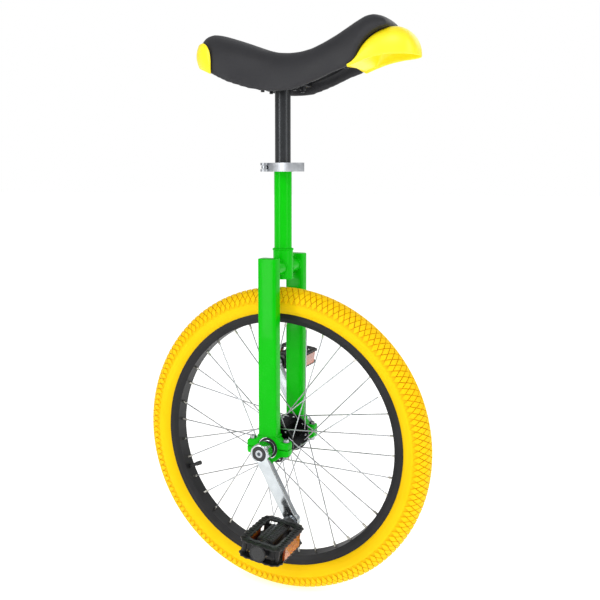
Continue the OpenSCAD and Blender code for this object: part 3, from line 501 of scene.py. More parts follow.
def spots_tree():
    """Copies a shape to every loose point of the mesh, turned by the point's own attribute, with a small
    seeded change of size."""
    tree, given = node_tree_with("Copies at spots", (("Shape", "NodeSocketObject"),
        ("Size change", "NodeSocketFloat"), ("Seed", "NodeSocketInt"), ("Material", "NodeSocketMaterial")))
    shape = add_node(tree, "GeometryNodeObjectInfo", {"Object": given["Shape"]}, transform_space="ORIGINAL")
    turn = add_node(tree, "GeometryNodeInputNamedAttribute", {"Name": "turn"}, data_type="FLOAT_VECTOR")
    least = add_node(tree, "ShaderNodeMath", {0: 1.0, 1: given["Size change"]},
        operation="SUBTRACT").outputs[0]
    size = add_node(tree, "FunctionNodeRandomValue", {2: least, 3: 1.0, "Seed": given["Seed"]},
        data_type="FLOAT")
    copies = add_node(tree, "GeometryNodeInstanceOnPoints", {"Points": given["Mesh"],
        "Instance": shape.outputs["Geometry"], "Rotation": turn.outputs[0], "Scale": size.outputs[1]})
    finish_tree(tree, copies.outputs[0], given["Material"])
    return tree


def bead_tree():
    """Lays overlapping ripples of weld metal along the edges of the mesh."""
    tree, given = node_tree_with("Weld bead along a seam", (("Ripple spacing", "NodeSocketFloat"),
        ("Bead radius", "NodeSocketFloat"), ("Seed", "NodeSocketInt"), ("Material", "NodeSocketMaterial")))
    seam = add_node(tree, "GeometryNodeMeshToCurve", {"Mesh": given["Mesh"]})
    spots = add_node(tree, "GeometryNodeCurveToPoints", {"Curve": seam.outputs[0],
        "Length": given["Ripple spacing"]},
        mode="LENGTH")
    ball = add_node(tree, "GeometryNodeMeshIcoSphere", {"Radius": given["Bead radius"], "Subdivisions": 2})
    flat = add_node(tree, "GeometryNodeTransform", {"Geometry": ball.outputs[0], "Scale": (1.0, 1.0, 0.72)})
    least = add_node(tree, "FunctionNodeRandomValue", {2: 0.88, 3: 1.08, "Seed": given["Seed"]},
        data_type="FLOAT")
    copies = add_node(tree, "GeometryNodeInstanceOnPoints", {"Points": spots.outputs["Points"],
        "Instance": flat.outputs[0], "Rotation": spots.outputs["Rotation"], "Scale": least.outputs[1]})
    finish_tree(tree, copies.outputs[0], given["Material"])
    return tree


def grown(tree, name, body, material, mesh, values, sharp=38, replaced=()):
    """Runs a geometry tree over a mesh and keeps the result as one plain piece on a body."""
    holder = bpy.data.objects.new(name + "_source", mesh)
    bpy.context.scene.collection.objects.link(holder)
    modifier = holder.modifiers.new("Copies", "NODES")
    modifier.node_group = tree
    names = {s.name: s.identifier for s in tree.interface.items_tree if s.in_out == "INPUT"}
    for label, value in {**values, "Material": MATERIALS[material]}.items():
        modifier[names[label]] = value
    bpy.context.view_layer.update()
    result = bpy.data.meshes.new_from_object(holder.evaluated_get(bpy.context.evaluated_depsgraph_get()))
    bpy.data.objects.remove(holder)
    if not len(result.polygons):
        raise RuntimeError(name + " came out empty")
    return settle_piece(name, body, material, result, sharp, replaced)


def plain_mesh(name, points, faces, edges=()):
    mesh = bpy.data.meshes.new(name)
    mesh.from_pydata([tuple(p) for p in points], list(edges), faces)
    if faces:
        work = bmesh.new()
        work.from_mesh(mesh)
        bmesh.ops.remove_doubles(work, verts=work.verts, dist=1e-6)
        bmesh.ops.recalc_face_normals(work, faces=work.faces)
        work.to_mesh(mesh)
        work.free()
    return mesh


def at_spots(name, body, material, spots, shape, size_change=0.0, seed=1, sharp=38, replaced=()):
    """Copies of one small shape, given as (points, faces), at (position, turn) spots."""
    pattern = bpy.data.objects.new(name + "_shape", plain_mesh(name + "_shape", *shape))
    bpy.context.scene.collection.objects.link(pattern)
    mesh = plain_mesh(name + "_spots", [p for p, _ in spots], [])
    turns = mesh.attributes.new("turn", "FLOAT_VECTOR", "POINT")
    turns.data.foreach_set("vector", [c for _, turn in spots for c in turn])
    piece = grown(TREES["spots"], name, body, material, mesh, {"Shape": pattern,
        "Size change": size_change, "Seed": seed}, sharp, replaced)
    bpy.data.objects.remove(pattern)
    return piece


TREES = {}


# ---- sizes and colours that a user would change ----

class UnicycleSizes(bpy.types.PropertyGroup):
    """Sizes of the detail that is added to the frame."""
    tread_rows: bpy.props.IntProperty(name="Tread pitch count", default=150, min=60, max=220,
        description="Number of times the tread repeats around the tyre")
    tread_depth: bpy.props.FloatProperty(name="Tread depth", default=1.7 * MM, unit="LENGTH",
        description="Depth of the grooves between the tread's blocks")
    wire: bpy.props.FloatProperty(name="Spoke diameter", default=2.0 * MM, unit="LENGTH",
        description="Diameter of a spoke")
    ripple: bpy.props.FloatProperty(name="Weld ripple", default=1.5 * MM, unit="LENGTH",
        description="Distance between the ripples of a weld")
    tooth: bpy.props.FloatProperty(name="Pedal tooth", default=1.7 * MM, unit="LENGTH",
        description="Height of the grip teeth on the pedals")
    padding: bpy.props.FloatProperty(name="Padding swell", default=2.4 * MM, unit="LENGTH",
        description="Furthest that the foam swells the saddle's cover")


class UnicycleColours(bpy.types.PropertyGroup):
    """Colours of the parts that come in several colours."""
    frame_paint: bpy.props.FloatVectorProperty(name="Frame", subtype="COLOR", size=4, min=0, max=1,
        default=linear("#04BB06"), description="Powder coat of the frame")
    tyre: bpy.props.FloatVectorProperty(name="Tyre", subtype="COLOR", size=4, min=0, max=1,
        default=linear("#FACA00"), description="Rubber of the tyre")
    bumper: bpy.props.FloatVectorProperty(name="Bumpers", subtype="COLOR", size=4, min=0, max=1,
        default=linear("#FBE91C"), description="Plastic of the saddle's bumpers")
    saddle: bpy.props.FloatVectorProperty(name="Saddle", subtype="COLOR", size=4, min=0, max=1,
        default=linear("#222225"), description="Vinyl of the saddle's cover")


# ---- wheel ----

def make_tyre_casing():
    """The casing: smooth sidewalls, a thin moulding line low on each, and a lower ground under the tread."""
    wall = TYRE_HALF
    outside = []
    for k in range(73):
        a = math.radians(-146 + 292 * k / 72)
        deg = abs(math.degrees(a))
        ground = wall - 1.75 * MM
        side = wall - 0.35 * MM
        t = min(max((deg - 90) / 5, 0), 1)
        r = ground + (side - ground) * t * t * (3 - 2 * t)
        r += 0.35 * MM * math.exp(-((deg - 116) / 2.2) ** 2)
        outside.append((SECTION_R + r * math.cos(a), r * math.sin(a)))
    foot = [(RIM_R - 2 * MM, 12.6 * MM), (RIM_R - 6 * MM, 12.4 * MM), (RIM_R - 6.5 * MM, 9.6 * MM)]
    inside = []
    for k in range(25):
        a = math.radians(146 - 292 * k / 24)
        r = wall - 3.4 * MM
        inside.append((SECTION_R + r * math.cos(a), max(min(r * math.sin(a), wall), -wall)))
    profile = outside + foot + inside + [(r, -y) for r, y in reversed(foot)]
    return turned(profile, AXLE, 180)


def tread_column(count, depth):
    """One repeat of the tread, drawn about the origin: seven staggered diamonds from sidewall to sidewall."""
    pitch = 2 * math.pi * TYRE_R / count
    row = 9.5 * MM
    parts = []
    for k in range(-3, 4):
        shift = 0.5 * pitch if k % 2 else 0.0
        reach = 0.47 * pitch
        tall = row * 0.93
        lift = TYRE_HALF - (0.1 * MM if abs(k) == 3 else 0.0)

        def on_tyre(u, v, r):
            a = (k * row + v) / TYRE_HALF
            out = SECTION_R + r * math.cos(a)
            turn = (shift + u) / TYRE_R
            return (out * math.sin(turn), r * math.sin(a), out * math.cos(turn))

        tops, feet = [], []
        for t, w in ((-1, 0), (-0.5, 0.52), (0, 1), (0.5, 0.52), (1, 0)):
            for sign in ((1, -1) if w else (1,)):
                tops.append(on_tyre(sign * w * (reach - 0.45 * MM), t * (tall - 1.1 * MM), lift))
                feet.append(on_tyre(sign * w * (reach + 0.1 * MM), t * (tall + 0.3 * MM),
                    lift - depth - 0.6 * MM))
        ring = [0, 1, 3, 5, 7, 6, 4, 2]
        faces = [(0, 1, 2), (1, 3, 4, 2), (3, 5, 6, 4), (5, 7, 6)]
        for i in range(8):
            a, b = ring[i], ring[(i + 1) % 8]
            faces.append((a, b, b + 8, a + 8))
        faces += [(8, 10, 9), (9, 10, 12, 11), (11, 12, 14, 13), (13, 14, 15)]
        parts.append((tops + feet, faces))
    return join_parts(*parts)


class UNICYCLE_OT_tyre(bpy.types.Operator):
    """Makes the yellow tyre with its diamond tread"""
    bl_idname = "unicycle.tyre"
    bl_label = "Tyre"

    def execute(self, context):
        sizes = context.scene.unicycle_sizes
        place_piece("tyre_casing", "wheel", "tyre_yellow", "yellow_tyre_rubber", *make_tyre_casing(),
            replaced=("tyre",))
        column = plain_mesh("tread_column", *tread_column(sizes.tread_rows, sizes.tread_depth))
        grown(TREES["ring"], "tyre_tread", "wheel", "yellow_tyre_rubber", column,
            {"Copies": sizes.tread_rows, "Centre": AXLE}, 25)
        return {"FINISHED"}


def wheel_point(radius, degrees, y):
    """A point on the wheel about the origin, an angle on from the front."""
    a = math.radians(degrees)
    return Vector((radius * math.cos(a), y, -radius * math.sin(a)))


def spoke_lines():
    """The four spokes of one repeat of the lacing: where each leaves its flange and meets the rim."""
    lines = []
    for side in (-1, 1):
        for i in (0, 1):
            lean = -side if i % 2 == 0 else side
            hole = 92 + 20 * i + (10 if side > 0 else 0)
            flange = side * 31 * MM
            away = side * lean
            lines.append((hole, flange, away, wheel_point(BED_R, hole + 60 * lean, side * 3 * MM)))
    return lines


class UNICYCLE_OT_spokes(bpy.types.Operator):
    """Laces the wheel: bent spokes with round heads, and squared nipples at the rim"""
    bl_idname = "unicycle.spokes"
    bl_label = "Spokes and nipples"

    def execute(self, context):
        r = context.scene.unicycle_sizes.wire / 2
        wires, nipples = [], []
        for hole, flange, away, end in spoke_lines():
            start = wheel_point(27.5 * MM, hole, 0)
            head = start + Vector((0, flange - away * 2.9 * MM, 0))
            crown = start + Vector((0, flange - away * 1.85 * MM, 0))
            elbow = start + Vector((0, flange + away * 1.9 * MM, 0))
            laid = start + Vector((0, flange + away * 2.75 * MM, 0))
            ahead = (end - laid).normalized()
            level = Vector((ahead.x, 0, ahead.z)).normalized()
            run = 17 * MM if away * flange > 0 else 6 * MM
            leave = laid + level * run
            ahead = (end - leave).normalized()
            nipple = end - ahead * 8 * MM
            path = [head, head + (crown - head) * 0.35, crown, crown + (elbow - crown) * 0.02, elbow,
                elbow.lerp(laid, 0.6) + level * 0.45 * MM, laid + level * 1.5 * MM, leave,
                leave + ahead * 3 * MM, nipple + ahead * 2 * MM]
            wires.append(tube(path, [1.1 * r, 1.75 * r, 1.9 * r, 1.08 * r, 1.08 * r, 1.08 * r, r, r, r, r],
                8))
            square = [nipple - ahead * 0.2 * MM, nipple, nipple + ahead * 0.8 * MM, nipple + ahead * 1.0 * MM,
                nipple + ahead * 6.2 * MM, nipple + ahead * 6.8 * MM, nipple + ahead * 9.0 * MM]
            nipples.append(tube(square, [w * MM for w in (1.25, 1.55, 1.6, 1.9, 1.9, 2.0, 2.0)], 8))
        values = {"Copies": 9, "Centre": AXLE}
        grown(TREES["ring"], "spoke_wires", "wheel", "stainless_spoke_wire",
            plain_mesh("spoke_repeat", *join_parts(*wires)), values, 50, ("spokes",))
        grown(TREES["ring"], "rim_nipples", "wheel", "nickel_plated_brass",
            plain_mesh("nipple_repeat", *join_parts(*nipples)), values, 30, ("spoke_nipples",))
        return {"FINISHED"}


# ---- saddle ----

POST_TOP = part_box("post_plate")[0].z
EDGE_Z = POST_TOP - 13 * MM
TOP_LINE = smooth_curve([(-137, 54), (-133, 82), (-112, 100), (-65, 87), (-18, 70), (17, 64.5), (55, 68),
    (95, 85), (135, 107), (158, 113), (181, 104), (190, 88)])
EDGE_LINE = smooth_curve([(-137, 42), (-119, 38), (-93, 29), (-74, 19), (-46, 8.5), (-19, 2.5), (10, 0),
    (33, 1.5), (51, 6), (72, 13), (97, 24), (118, 30), (146, 40), (167, 46), (190, 49)])


def top_at(x):
    return float(np.interp(x, TOP_LINE[:, 0], TOP_LINE[:, 1]))


def edge_at(x):
    return float(np.interp(x, EDGE_LINE[:, 0], EDGE_LINE[:, 1]))


def half_width_at(x, grow=0.0):
    """Half the saddle's width at a distance ahead of the post, in millimetres."""
    def ease(t):
        t = min(max(t, 0), 1)
        return t * t * (3 - 2 * t)

    def round_end(t):
        return max(1 - min(max(t, 0), 1) ** 2.5, 0) ** 0.4
    if x < -80:
        return (70 + grow) * round_end((-80 - x) / (57 + grow))
    if x < 0:
        return 70 + grow - 21 * ease((x + 80) / 80)
    if x < 150:
        return 49 + grow - 5 * ease(x / 150)
    return (44 + grow) * round_end((x - 150) / (73 + grow))


def hood_at(x):
    """Height of the front bumper's rounded back, where the padding stops."""
    return 41 + math.sqrt(max(52 ** 2 - (190 - x) ** 2, 0)) if 138 < x <= 190 else -99.0


def dome(half, low, high, boxy, count=24):
    """The arch of a saddle's cross-section from its right edge to its left, in millimetres."""
    points = []
    for k in range(count + 1):
        a = math.pi * k / count
        c, s = math.cos(a), math.sin(a)
        points.append((-half * math.copysign(abs(c) ** (2 / boxy), c),
            low + (high - low) * abs(s) ** (2 / boxy)))
    return points


def to_row(x, y, z):
    """A point given in millimetres ahead of the post, left of the middle and above the lowest edge."""
    return Vector((x * MM, y * MM, EDGE_Z + z * MM))


def make_padding():
    """The padding as an arched block with a hollow underside, slightly slimmer than it ends up."""
    rings = []
    stations = [-135.2, -133, -129.5, -125, -118, -108, -95, -80, -60, -40, -20, 0, 20, 40, 60, 80, 100,
        118, 130,
        136, 139.5, 144, 150, 158, 167, 175, 181, 185]
    for x in stations:
        low = max(edge_at(x) + 0.4 + 3.1 * min(max((x - 124) / 3, 0), 1), hood_at(x) - 3.4)
        high = top_at(x) - 0.8
        half = max(half_width_at(x) - 1.2 + 2.2 * min(max((x - 108) / 24, 0), 1), 1.0)
        outer = dome(half, low, max(high, low + 1.0), 3.0)
        depth = 22 * min(max((x + 132) / 10, 0), 1) * min(max((128 - x) / 14, 0), 1)
        wall = 9.5
        reach = max(half - wall, 0.2)
        roof = low + max(depth, 0.05)
        inner = [(reach, low), (reach * 0.97, roof), (0.0, roof), (-reach * 0.97, roof), (-reach, low)]
        rings.append([to_row(x, y, z) for y, z in outer + inner])
    return loft(rings)


def swell(piece, cap):
    """Blows the cover out with a cloth simulation, never further than a cap, and settles it on the mesh."""
    mesh = piece.data
    rest = np.array([v.co for v in mesh.vertices])
    pinned = piece.vertex_groups.new(name="fixed underside")
    lowest = {v.index: v.co.z - (EDGE_Z + edge_at(v.co.x / MM) * MM) for v in mesh.vertices}
    for index, height in lowest.items():
        ahead = rest[index][0] / MM
        hold = 1.0 if height < 6 * MM or ahead > 128 or ahead < -118 else max(0.0,
            1 - (height - 6 * MM) / (14 * MM))
        pinned.add([index], hold, "REPLACE")
    cloth = piece.modifiers.new("Padding", "CLOTH")
    settings = cloth.settings
    settings.quality = 5
    settings.mass = 0.4
    settings.tension_stiffness = settings.compression_stiffness = 25
    settings.bending_stiffness = 4
    settings.use_pressure = True
    settings.uniform_pressure_force = 4.0
    settings.vertex_group_mass = pinned.name
    settings.effector_weights.gravity = 0.0
    cloth.collision_settings.use_collision = False
    for step in range(1, 21):
        bpy.context.scene.frame_set(step)
    settled = piece.evaluated_get(bpy.context.evaluated_depsgraph_get()).to_mesh()
    moved = np.array([v.co for v in settled.vertices]) - rest
    piece.evaluated_get(bpy.context.evaluated_depsgraph_get()).to_mesh_clear()
    piece.modifiers.remove(cloth)
    bpy.context.scene.frame_set(1)
    far = np.linalg.norm(moved, axis=1, keepdims=True)
    if not np.isfinite(far).all():
        raise RuntimeError("the padding's simulation blew up")
    moved *= np.minimum(1.0, cap / np.maximum(far, 1e-9))
    mesh.vertices.foreach_set("co", (rest + moved).astype(np.float32).ravel())
    piece.vertex_groups.remove(pinned)


def applied(piece, kind, **settings):
    """Adds a modifier, applies it and returns the piece."""
    modifier = piece.modifiers.new(kind.title(), kind)
    for key, value in settings.items():
        setattr(modifier, key, value)
    result = bpy.data.meshes.new_from_object(piece.evaluated_get(bpy.context.evaluated_depsgraph_get()))
    piece.modifiers.remove(modifier)
    piece.data = result
    return piece


class UNICYCLE_OT_padding(bpy.types.Operator):
    """Makes the saddle's padding and its vinyl cover"""
    bl_idname = "unicycle.padding"
    bl_label = "Saddle padding"

    def execute(self, context):
        points, faces = make_padding()
        piece = bpy.data.objects.new("saddle_padding", plain_mesh("saddle_padding", points, faces))
        context.scene.collection.objects.link(piece)
        applied(piece, "REMESH", mode="VOXEL", voxel_size=3.6 * MM)
        applied(piece, "SMOOTH", factor=0.5, iterations=5)
        swell(piece, context.scene.unicycle_sizes.padding)
        applied(piece, "SMOOTH", factor=0.5, iterations=4)
        applied(piece, "SUBSURF", levels=1, render_levels=1)
        mesh = piece.data.copy()
        bpy.data.objects.remove(piece)
        made = settle_piece("saddle_padding", "seat", "embossed_saddle_vinyl", mesh, 60,
            ("saddle_cushion",))
        return {"FINISHED"}


def make_front_bumper():
    """The front bumper: a smooth hood over a finger hollow, with a thick rolled lower lip."""
    rings = []
    stations = [125, 126.5, 129, 132, 136, 140, 144, 149, 155, 163, 172, 181, 190, 199, 207, 213.5, 218.5,
        222, 224.6, 225.9]
    for x in stations:
        low = edge_at(x) - 1.0
        if x <= 140:
            high = low + 5 + 12.5 * ((x - 125) / 15) ** 2
        elif x <= 190:
            high = hood_at(x)
        else:
            high = 49 + 44 * math.sqrt(max(1 - ((x - 190) / 36) ** 2, 0))
        half = half_width_at(x, 3.0)
        drop = min(max((225.9 - x) / 12, 0), 1)
        outer = dome(half, low + 3.4 * drop, max(high, low + 6.0), 2.7)
        deep = min(max((x - 143) / 9, 0), 1) * min(max((224 - x) / 12, 0), 1)
        inner_half = max(half - 5.2, 0.3)
        roof = low + 3.4 * drop + max((high - low - 7.5) * deep, 0.3)
        inner = dome(inner_half, low + 3.0 * drop, roof, 2.6)
        lip = [(half - 0.4, low + 1.6 * drop), (half - 2.0, low + 0.2 * drop), (half - 3.6, low + 0.4 * drop),
            (max(half - 4.8, 0.32), low + 1.6 * drop)]
        ring = outer + [(max(y, 0.31), z) for y, z in lip] + inner[::-1] + [(-max(y, 0.31), z)
            for y, z in reversed(lip)]
        rings.append([to_row(x, y, z) for y, z in ring])
    return loft(rings)


def make_rear_bumper():
    """The rear bumper: a thick band round the saddle's tail, bulging at mid height, with rolled edges and
    front corners cut back in a round."""
    front, back = -92.0, -139.9
    right = [(x, -half_width_at(x, 3.0)) for x in np.linspace(front, back, 26)]
    line = np.array(right + [(x, -y) for x, y in right[-2::-1]])
    rings = []
    for i, (x, y) in enumerate(line):
        along = line[min(i + 1, len(line) - 1)] - line[max(i - 1, 0)]
        inward = np.array((along[1], -along[0])) / (np.hypot(*along) or 1)
        low = edge_at(max(x, -137))
        corner = min((front - x) / 22, 1.0)
        top = low + (79 - low) * (0.42 + 0.58 * math.sqrt(1 - (1 - corner) ** 2))
        ring = []
        for inset, t in ((7.0, 0.0), (5.0, 0.02), (2.2, 0.2), (0.5, 0.4), (0.0, 0.55), (1.0, 0.75),
            (3.0, 0.92),
                         (4.0, 0.98), (5.2, 1.0), (6.2, 0.99), (7.0, 0.9), (5.4, 0.55), (6.2, 0.3),
                         (8.2, 0.05)):
            tail = min(abs(x - front) / 30, 1.0)
            p = (x, y) + inward * inset * (0.45 + 0.55 * tail)
            ring.append(to_row(p[0], p[1], low + (top - low) * t))
        rings.append(ring)
    return loft(rings)


class UNICYCLE_OT_bumpers(bpy.types.Operator):
    """Makes the two yellow bumpers of the saddle"""
    bl_idname = "unicycle.bumpers"
    bl_label = "Saddle bumpers"

    def execute(self, context):
        for name, made, node in (("front_bumper_hood", make_front_bumper(), "front_bumper"),
                                 ("rear_bumper_band", make_rear_bumper(), "rear_bumper")):
            piece = place_piece(name, "seat", "yellow_plastic", "moulded_yellow_polyethylene", *made, 50,
                (node,))
            applied(piece, "SUBSURF", levels=2, render_levels=2)
            piece.data.shade_smooth()
        return {"FINISHED"}


# ---- frame ----

LEG_LOW, LEG_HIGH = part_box("right_leg")
LEG_Y = abs(LEG_LOW.y + LEG_HIGH.y) / 2
LEG_DEPTH = 31 * MM
SLEEVE_LOW, SLEEVE_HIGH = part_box("seat_tube_sleeve")
CROWN_Z = (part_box("crown_tubes")[0].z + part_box("crown_tubes")[1].z) / 2
CROWN_R = (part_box("crown_tubes")[1].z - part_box("crown_tubes")[0].z) / 2
LEG_IN = LEG_Y - 10.5 * MM


def holder_reach(angle, grow=0.0):
    """How far the forged bearing holder reaches from the axle at an angle: a round body run softly
    into two lugs."""
    low, high = 0.0, 80 * MM
    for _ in range(30):
        r = (low + high) / 2
        x, z = r * math.cos(angle), r * math.sin(angle)
        body = math.hypot(x, z) - 24 * MM
        qx, qz = abs(x) - (36 - 4) * MM, abs(z) - (11.5 - 4) * MM
        lug = math.hypot(max(qx, 0), max(qz, 0)) + min(max(qx, qz), 0) - 4 * MM
        soft = 5 * MM
        h = max(soft - abs(body - lug), 0) / soft
        if min(body, lug) - h * h * soft / 4 < grow:
            low = r
        else:
            high = r
    return low


def make_holder(side, up):
    """One half of a bearing holder, forged with rounded edges and split level with the axle."""
    half = 9 * MM
    rings = []
    count = 72
    for k in range(count + 1):
        a = math.pi * k / count
        split = 0.75 * MM
        outer = []
        for inset, y in ((2.0, -half), (0.9, -half + 0.3 * MM), (0.25, -half + 0.9 * MM), (0, -half + 2 * MM),
                         (0, half - 2 * MM), (0.25, half - 0.9 * MM), (0.9, half - 0.3 * MM), (2.0, half)):
            outer.append((holder_reach(a, -inset * MM), y))
        inner = [(18.2 * MM, half), (17.5 * MM, half - 0.7 * MM), (17.5 * MM, 6 * MM), (20 * MM, 6 * MM),
            (20 * MM, -6 * MM), (17.5 * MM, -6 * MM), (17.5 * MM, -half + 0.7 * MM), (18.2 * MM, -half)]
        ring = []
        for r, y in outer + inner:
            x, z = r * math.cos(a), r * math.sin(a)
            if z < split:
                x, z = math.copysign(math.sqrt(max(r * r - split * split, 0)), x), split
            ring.append((AXLE.x + x, side * LEG_Y + y, AXLE.z + up * z))
        rings.append(ring)
    return loft(rings)


def make_leg_tube(side):
    """The leg's rectangular tube, closed on top, with drawn corners and a slightly rounded top edge."""
    top = LEG_HIGH.z
    rings = []
    for inset, z in ((0.0, AXLE.z + 21 * MM), (0.0, AXLE.z + 60 * MM), (0.0, top - 1.4 * MM),
        (0.2, top - 0.7 * MM),
                     (0.7, top - 0.2 * MM), (1.5, top)):
        outline = rounded_box(LEG_DEPTH - 2 * inset * MM, (21 - 2 * inset) * MM, (4 - inset * 0.6) * MM)
        rings.append([(x, side * LEG_Y + y, z) for x, y in outline])
    return loft(rings)


def seam_ring(points):
    """A closed seam as a mesh of edges only."""
    return points, [(i, (i + 1) % len(points)) for i in range(len(points))]


class UNICYCLE_OT_legs(bpy.types.Operator):
    """Makes the two legs with their forged bearing holders and caps"""
    bl_idname = "unicycle.legs"
    bl_label = "Legs and bearing holders"

    def execute(self, context):
        for name, side in (("right", -1), ("left", 1)):
            place_piece(name + "_leg_and_holder", "frame", "frame_paint", "green_powder_coat",
                *join_parts(make_leg_tube(side), make_holder(side, 1)), 35, (name + "_leg",))
            place_piece(name + "_holder_cap", "frame", "frame_paint", "green_powder_coat",
                *make_holder(side, -1), 35, (name + "_bearing_cap",))
        return {"FINISHED"}


class UNICYCLE_OT_welds(bpy.types.Operator):
    """Lays the weld beads round the crown, the sleeve and the feet of the legs"""
    bl_idname = "unicycle.welds"
    bl_label = "Weld beads"

    def execute(self, context):
        sleeve_r = (SLEEVE_HIGH.x - SLEEVE_LOW.x) / 2
        seams = []
        turns = [2 * math.pi * k / 60 for k in range(60)]
        for side in (-1, 1):
            saddle = []
            for t in turns:
                x, z = CROWN_R * math.cos(t), CROWN_R * math.sin(t)
                saddle.append((x * 1.02, side * (math.sqrt(max(sleeve_r ** 2 - x * x, 0)) + 0.3 * MM),
                    CROWN_Z + z * 1.02))
            seams.append(seam_ring(saddle))
            seams.append(seam_ring([(1.03 * CROWN_R * math.cos(t), side * (LEG_IN - 0.4 * MM),
                CROWN_Z + 1.03 * CROWN_R * math.sin(t)) for t in turns]))
            across = LEG_DEPTH / 2
            reach = math.sqrt((24 * MM) ** 2 - across ** 2) + 0.8 * MM
            seams.append(([(x * (across + 0.1 * MM), side * LEG_Y + y * MM, AXLE.z + reach) for x in (-1, 1)
                for y in (-8.5, 8.5)], [(0, 1), (2, 3)]))
        tube_r = 15.0 * MM
        seams.append(seam_ring([(tube_r * math.cos(t) * 1.02, tube_r * math.sin(t) * 1.02, SLEEVE_HIGH.z)
            for t in turns]))
        points, edges = [], []
        for seam_points, seam_edges in seams:
            edges += [(a + len(points), b + len(points)) for a, b in seam_edges]
            points += seam_points
        mesh = bpy.data.meshes.new("weld_seams")
        mesh.from_pydata([tuple(p) for p in points], edges, [])
        grown(TREES["bead"], "weld_beads", "frame", "green_powder_coat", mesh,
            {"Ripple spacing": context.scene.unicycle_sizes.ripple, "Bead radius": 2.0 * MM, "Seed": 7}, 80)
        return {"FINISHED"}


def hex_head(across, height, hollow):
    """A bolt head drawn about the origin on +Z: six sides with a turned top edge, and a shallow socket."""
    def six(r, z, round_off=0.0):
        points = []
        for k in range(24):
            a = 2 * math.pi * k / 24
            flat = math.cos(math.pi / 6) / math.cos((a + math.pi / 6) % (math.pi / 3) - math.pi / 6)
            points.append((r * (flat * (1 - round_off) + round_off * 0.87) * math.cos(a),
                r * (flat * (1 - round_off) + round_off * 0.87) * math.sin(a), z))
        return points
    rings = [six(across, 0), six(across, height * 0.8), six(across * 0.95, height, 0.9)]
    if hollow:
        rings += [six(across * 0.55, height, 0.9), six(across * 0.5, height * 0.85),
            six(across * 0.5, height * 0.4)]
    return loft(rings)


def flat_washer():
    profile = ((3.1, 0), (5.7, 0), (6.0, 0.3), (5.7, 0.6), (3.1, 0.6))
    rings = [[(r * math.cos(a) * MM, r * math.sin(a) * MM, z * MM) for r, z in profile]
        for a in (2 * math.pi * k / 28 for k in range(28))]
    return loft(rings, around=True)


class UNICYCLE_OT_fasteners(bpy.types.Operator):
    """Makes the holder bolts with their nuts and washers"""
    bl_idname = "unicycle.fasteners"
    bl_label = "Holder bolts and nuts"

    def execute(self, context):
        heads, tails, washers = [], [], []
        for side in (-1, 1):
            for x in (-1, 1):
                spot = Vector((x * 29.2 * MM, side * LEG_Y, AXLE.z))
                heads.append((spot + Vector((0, 0, 11.8 * MM)), (0, 0, 0.3 * x)))
                tails.append((spot - Vector((0, 0, 11.8 * MM)), (math.pi, 0, 0.5 * x)))
                washers += [(spot + Vector((0, 0, 11.4 * MM)), (0, 0, 0)),
                    (spot - Vector((0, 0, 12.0 * MM)), (0, 0, 0))]
        shaft = tube([(0, 0, -28 * MM), (0, 0, -27.4 * MM), (0, 0, 1 * MM)], [2.4 * MM, 3 * MM, 3 * MM], 20)
        at_spots("holder_bolts", "frame", "zinc_plated_steel", heads,
            join_parts(hex_head(5.1 * MM, 3.9 * MM, True), shaft), replaced=("cap_bolts",), sharp=30)
        at_spots("holder_nuts", "frame", "zinc_plated_steel", tails,
            hex_head(5.5 * MM, 4.5 * MM, False), replaced=("cap_nuts",), sharp=30)
        at_spots("holder_washers", "frame", "zinc_plated_steel", washers, flat_washer(),
            sharp=30)
        return {"FINISHED"}


# ---- cranks and pedals ----

CRANK_L = 114 * MM
CRANK_TILT = math.radians(90 - 28.8)


def crank_outline():
    """The crank seen from its side, eye at +u: two rounds joined by an arm that slims towards the pedal."""
    points = []
    boss, eye = 15 * MM, 12 * MM
    for k in range(33):
        a = math.radians(40 + 280 * k / 32)
        points.append((boss * math.cos(a), boss * math.sin(a)))
    near, far = 11.5 * MM, 10.2 * MM
    flank = [(20 * MM, near - 0.9 * MM), (30 * MM, near - 1.6 * MM), (62 * MM, 10.2 * MM),
        (96 * MM, far - 0.4 * MM)]
    points += [(u, -v) for u, v in flank]
    for k in range(25):
        a = math.radians(-122 + 244 * k / 24)
        points.append((CRANK_L + eye * math.cos(a), eye * math.sin(a)))
    points += flank[::-1]
    return points


class UNICYCLE_OT_cranks(bpy.types.Operator):
    """Makes the two forged cranks with their bevelled edges"""
    bl_idname = "unicycle.cranks"
    bl_label = "Cranks"

    def execute(self, context):
        low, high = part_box("right_crank")
        face, back, boss = -low.y, -low.y - 12 * MM, -high.y
        for name, side in (("right", -1), ("left", 1)):
            reach = -side

            def put(u, v, w):
                c, s = math.cos(CRANK_TILT), math.sin(CRANK_TILT)
                return Vector((AXLE.x + reach * (u * c - v * s), side * w, AXLE.z - reach * (u * s + v * c)))
            holes = [circle(11.05 * MM, 40), circle(7.1 * MM, 40, (CRANK_L, 0))]
            arm = plate(crank_outline(), holes, back, face, 1.7 * MM, put, 4)
            seat = face - 9 * MM
            hub = turned([(14.2 * MM, side * boss), (14.8 * MM, side * (boss + 0.7 * MM)),
                (14.8 * MM, side * (back + 3 * MM)), (12.5 * MM, side * (back + 3 * MM)),
                (12.5 * MM, side * seat),
                (7.4 * MM, side * seat), (7.4 * MM, side * boss)], AXLE, 64)
            eye = put(CRANK_L, 0, 0)
            insert = turned([(7.4 * MM, side * (back + 0.6 * MM)), (7.4 * MM, side * (face - 0.5 * MM)),
                (5.3 * MM, side * (face - 0.5 * MM)), (5.3 * MM, side * (back + 0.6 * MM))], eye, 48)
            place_piece(name + "_crank_arm", "wheel", "polished_alloy", "polished_forged_aluminium",
                *join_parts(arm, hub, insert), 40, (name + "_crank",))
        return {"FINISHED"}


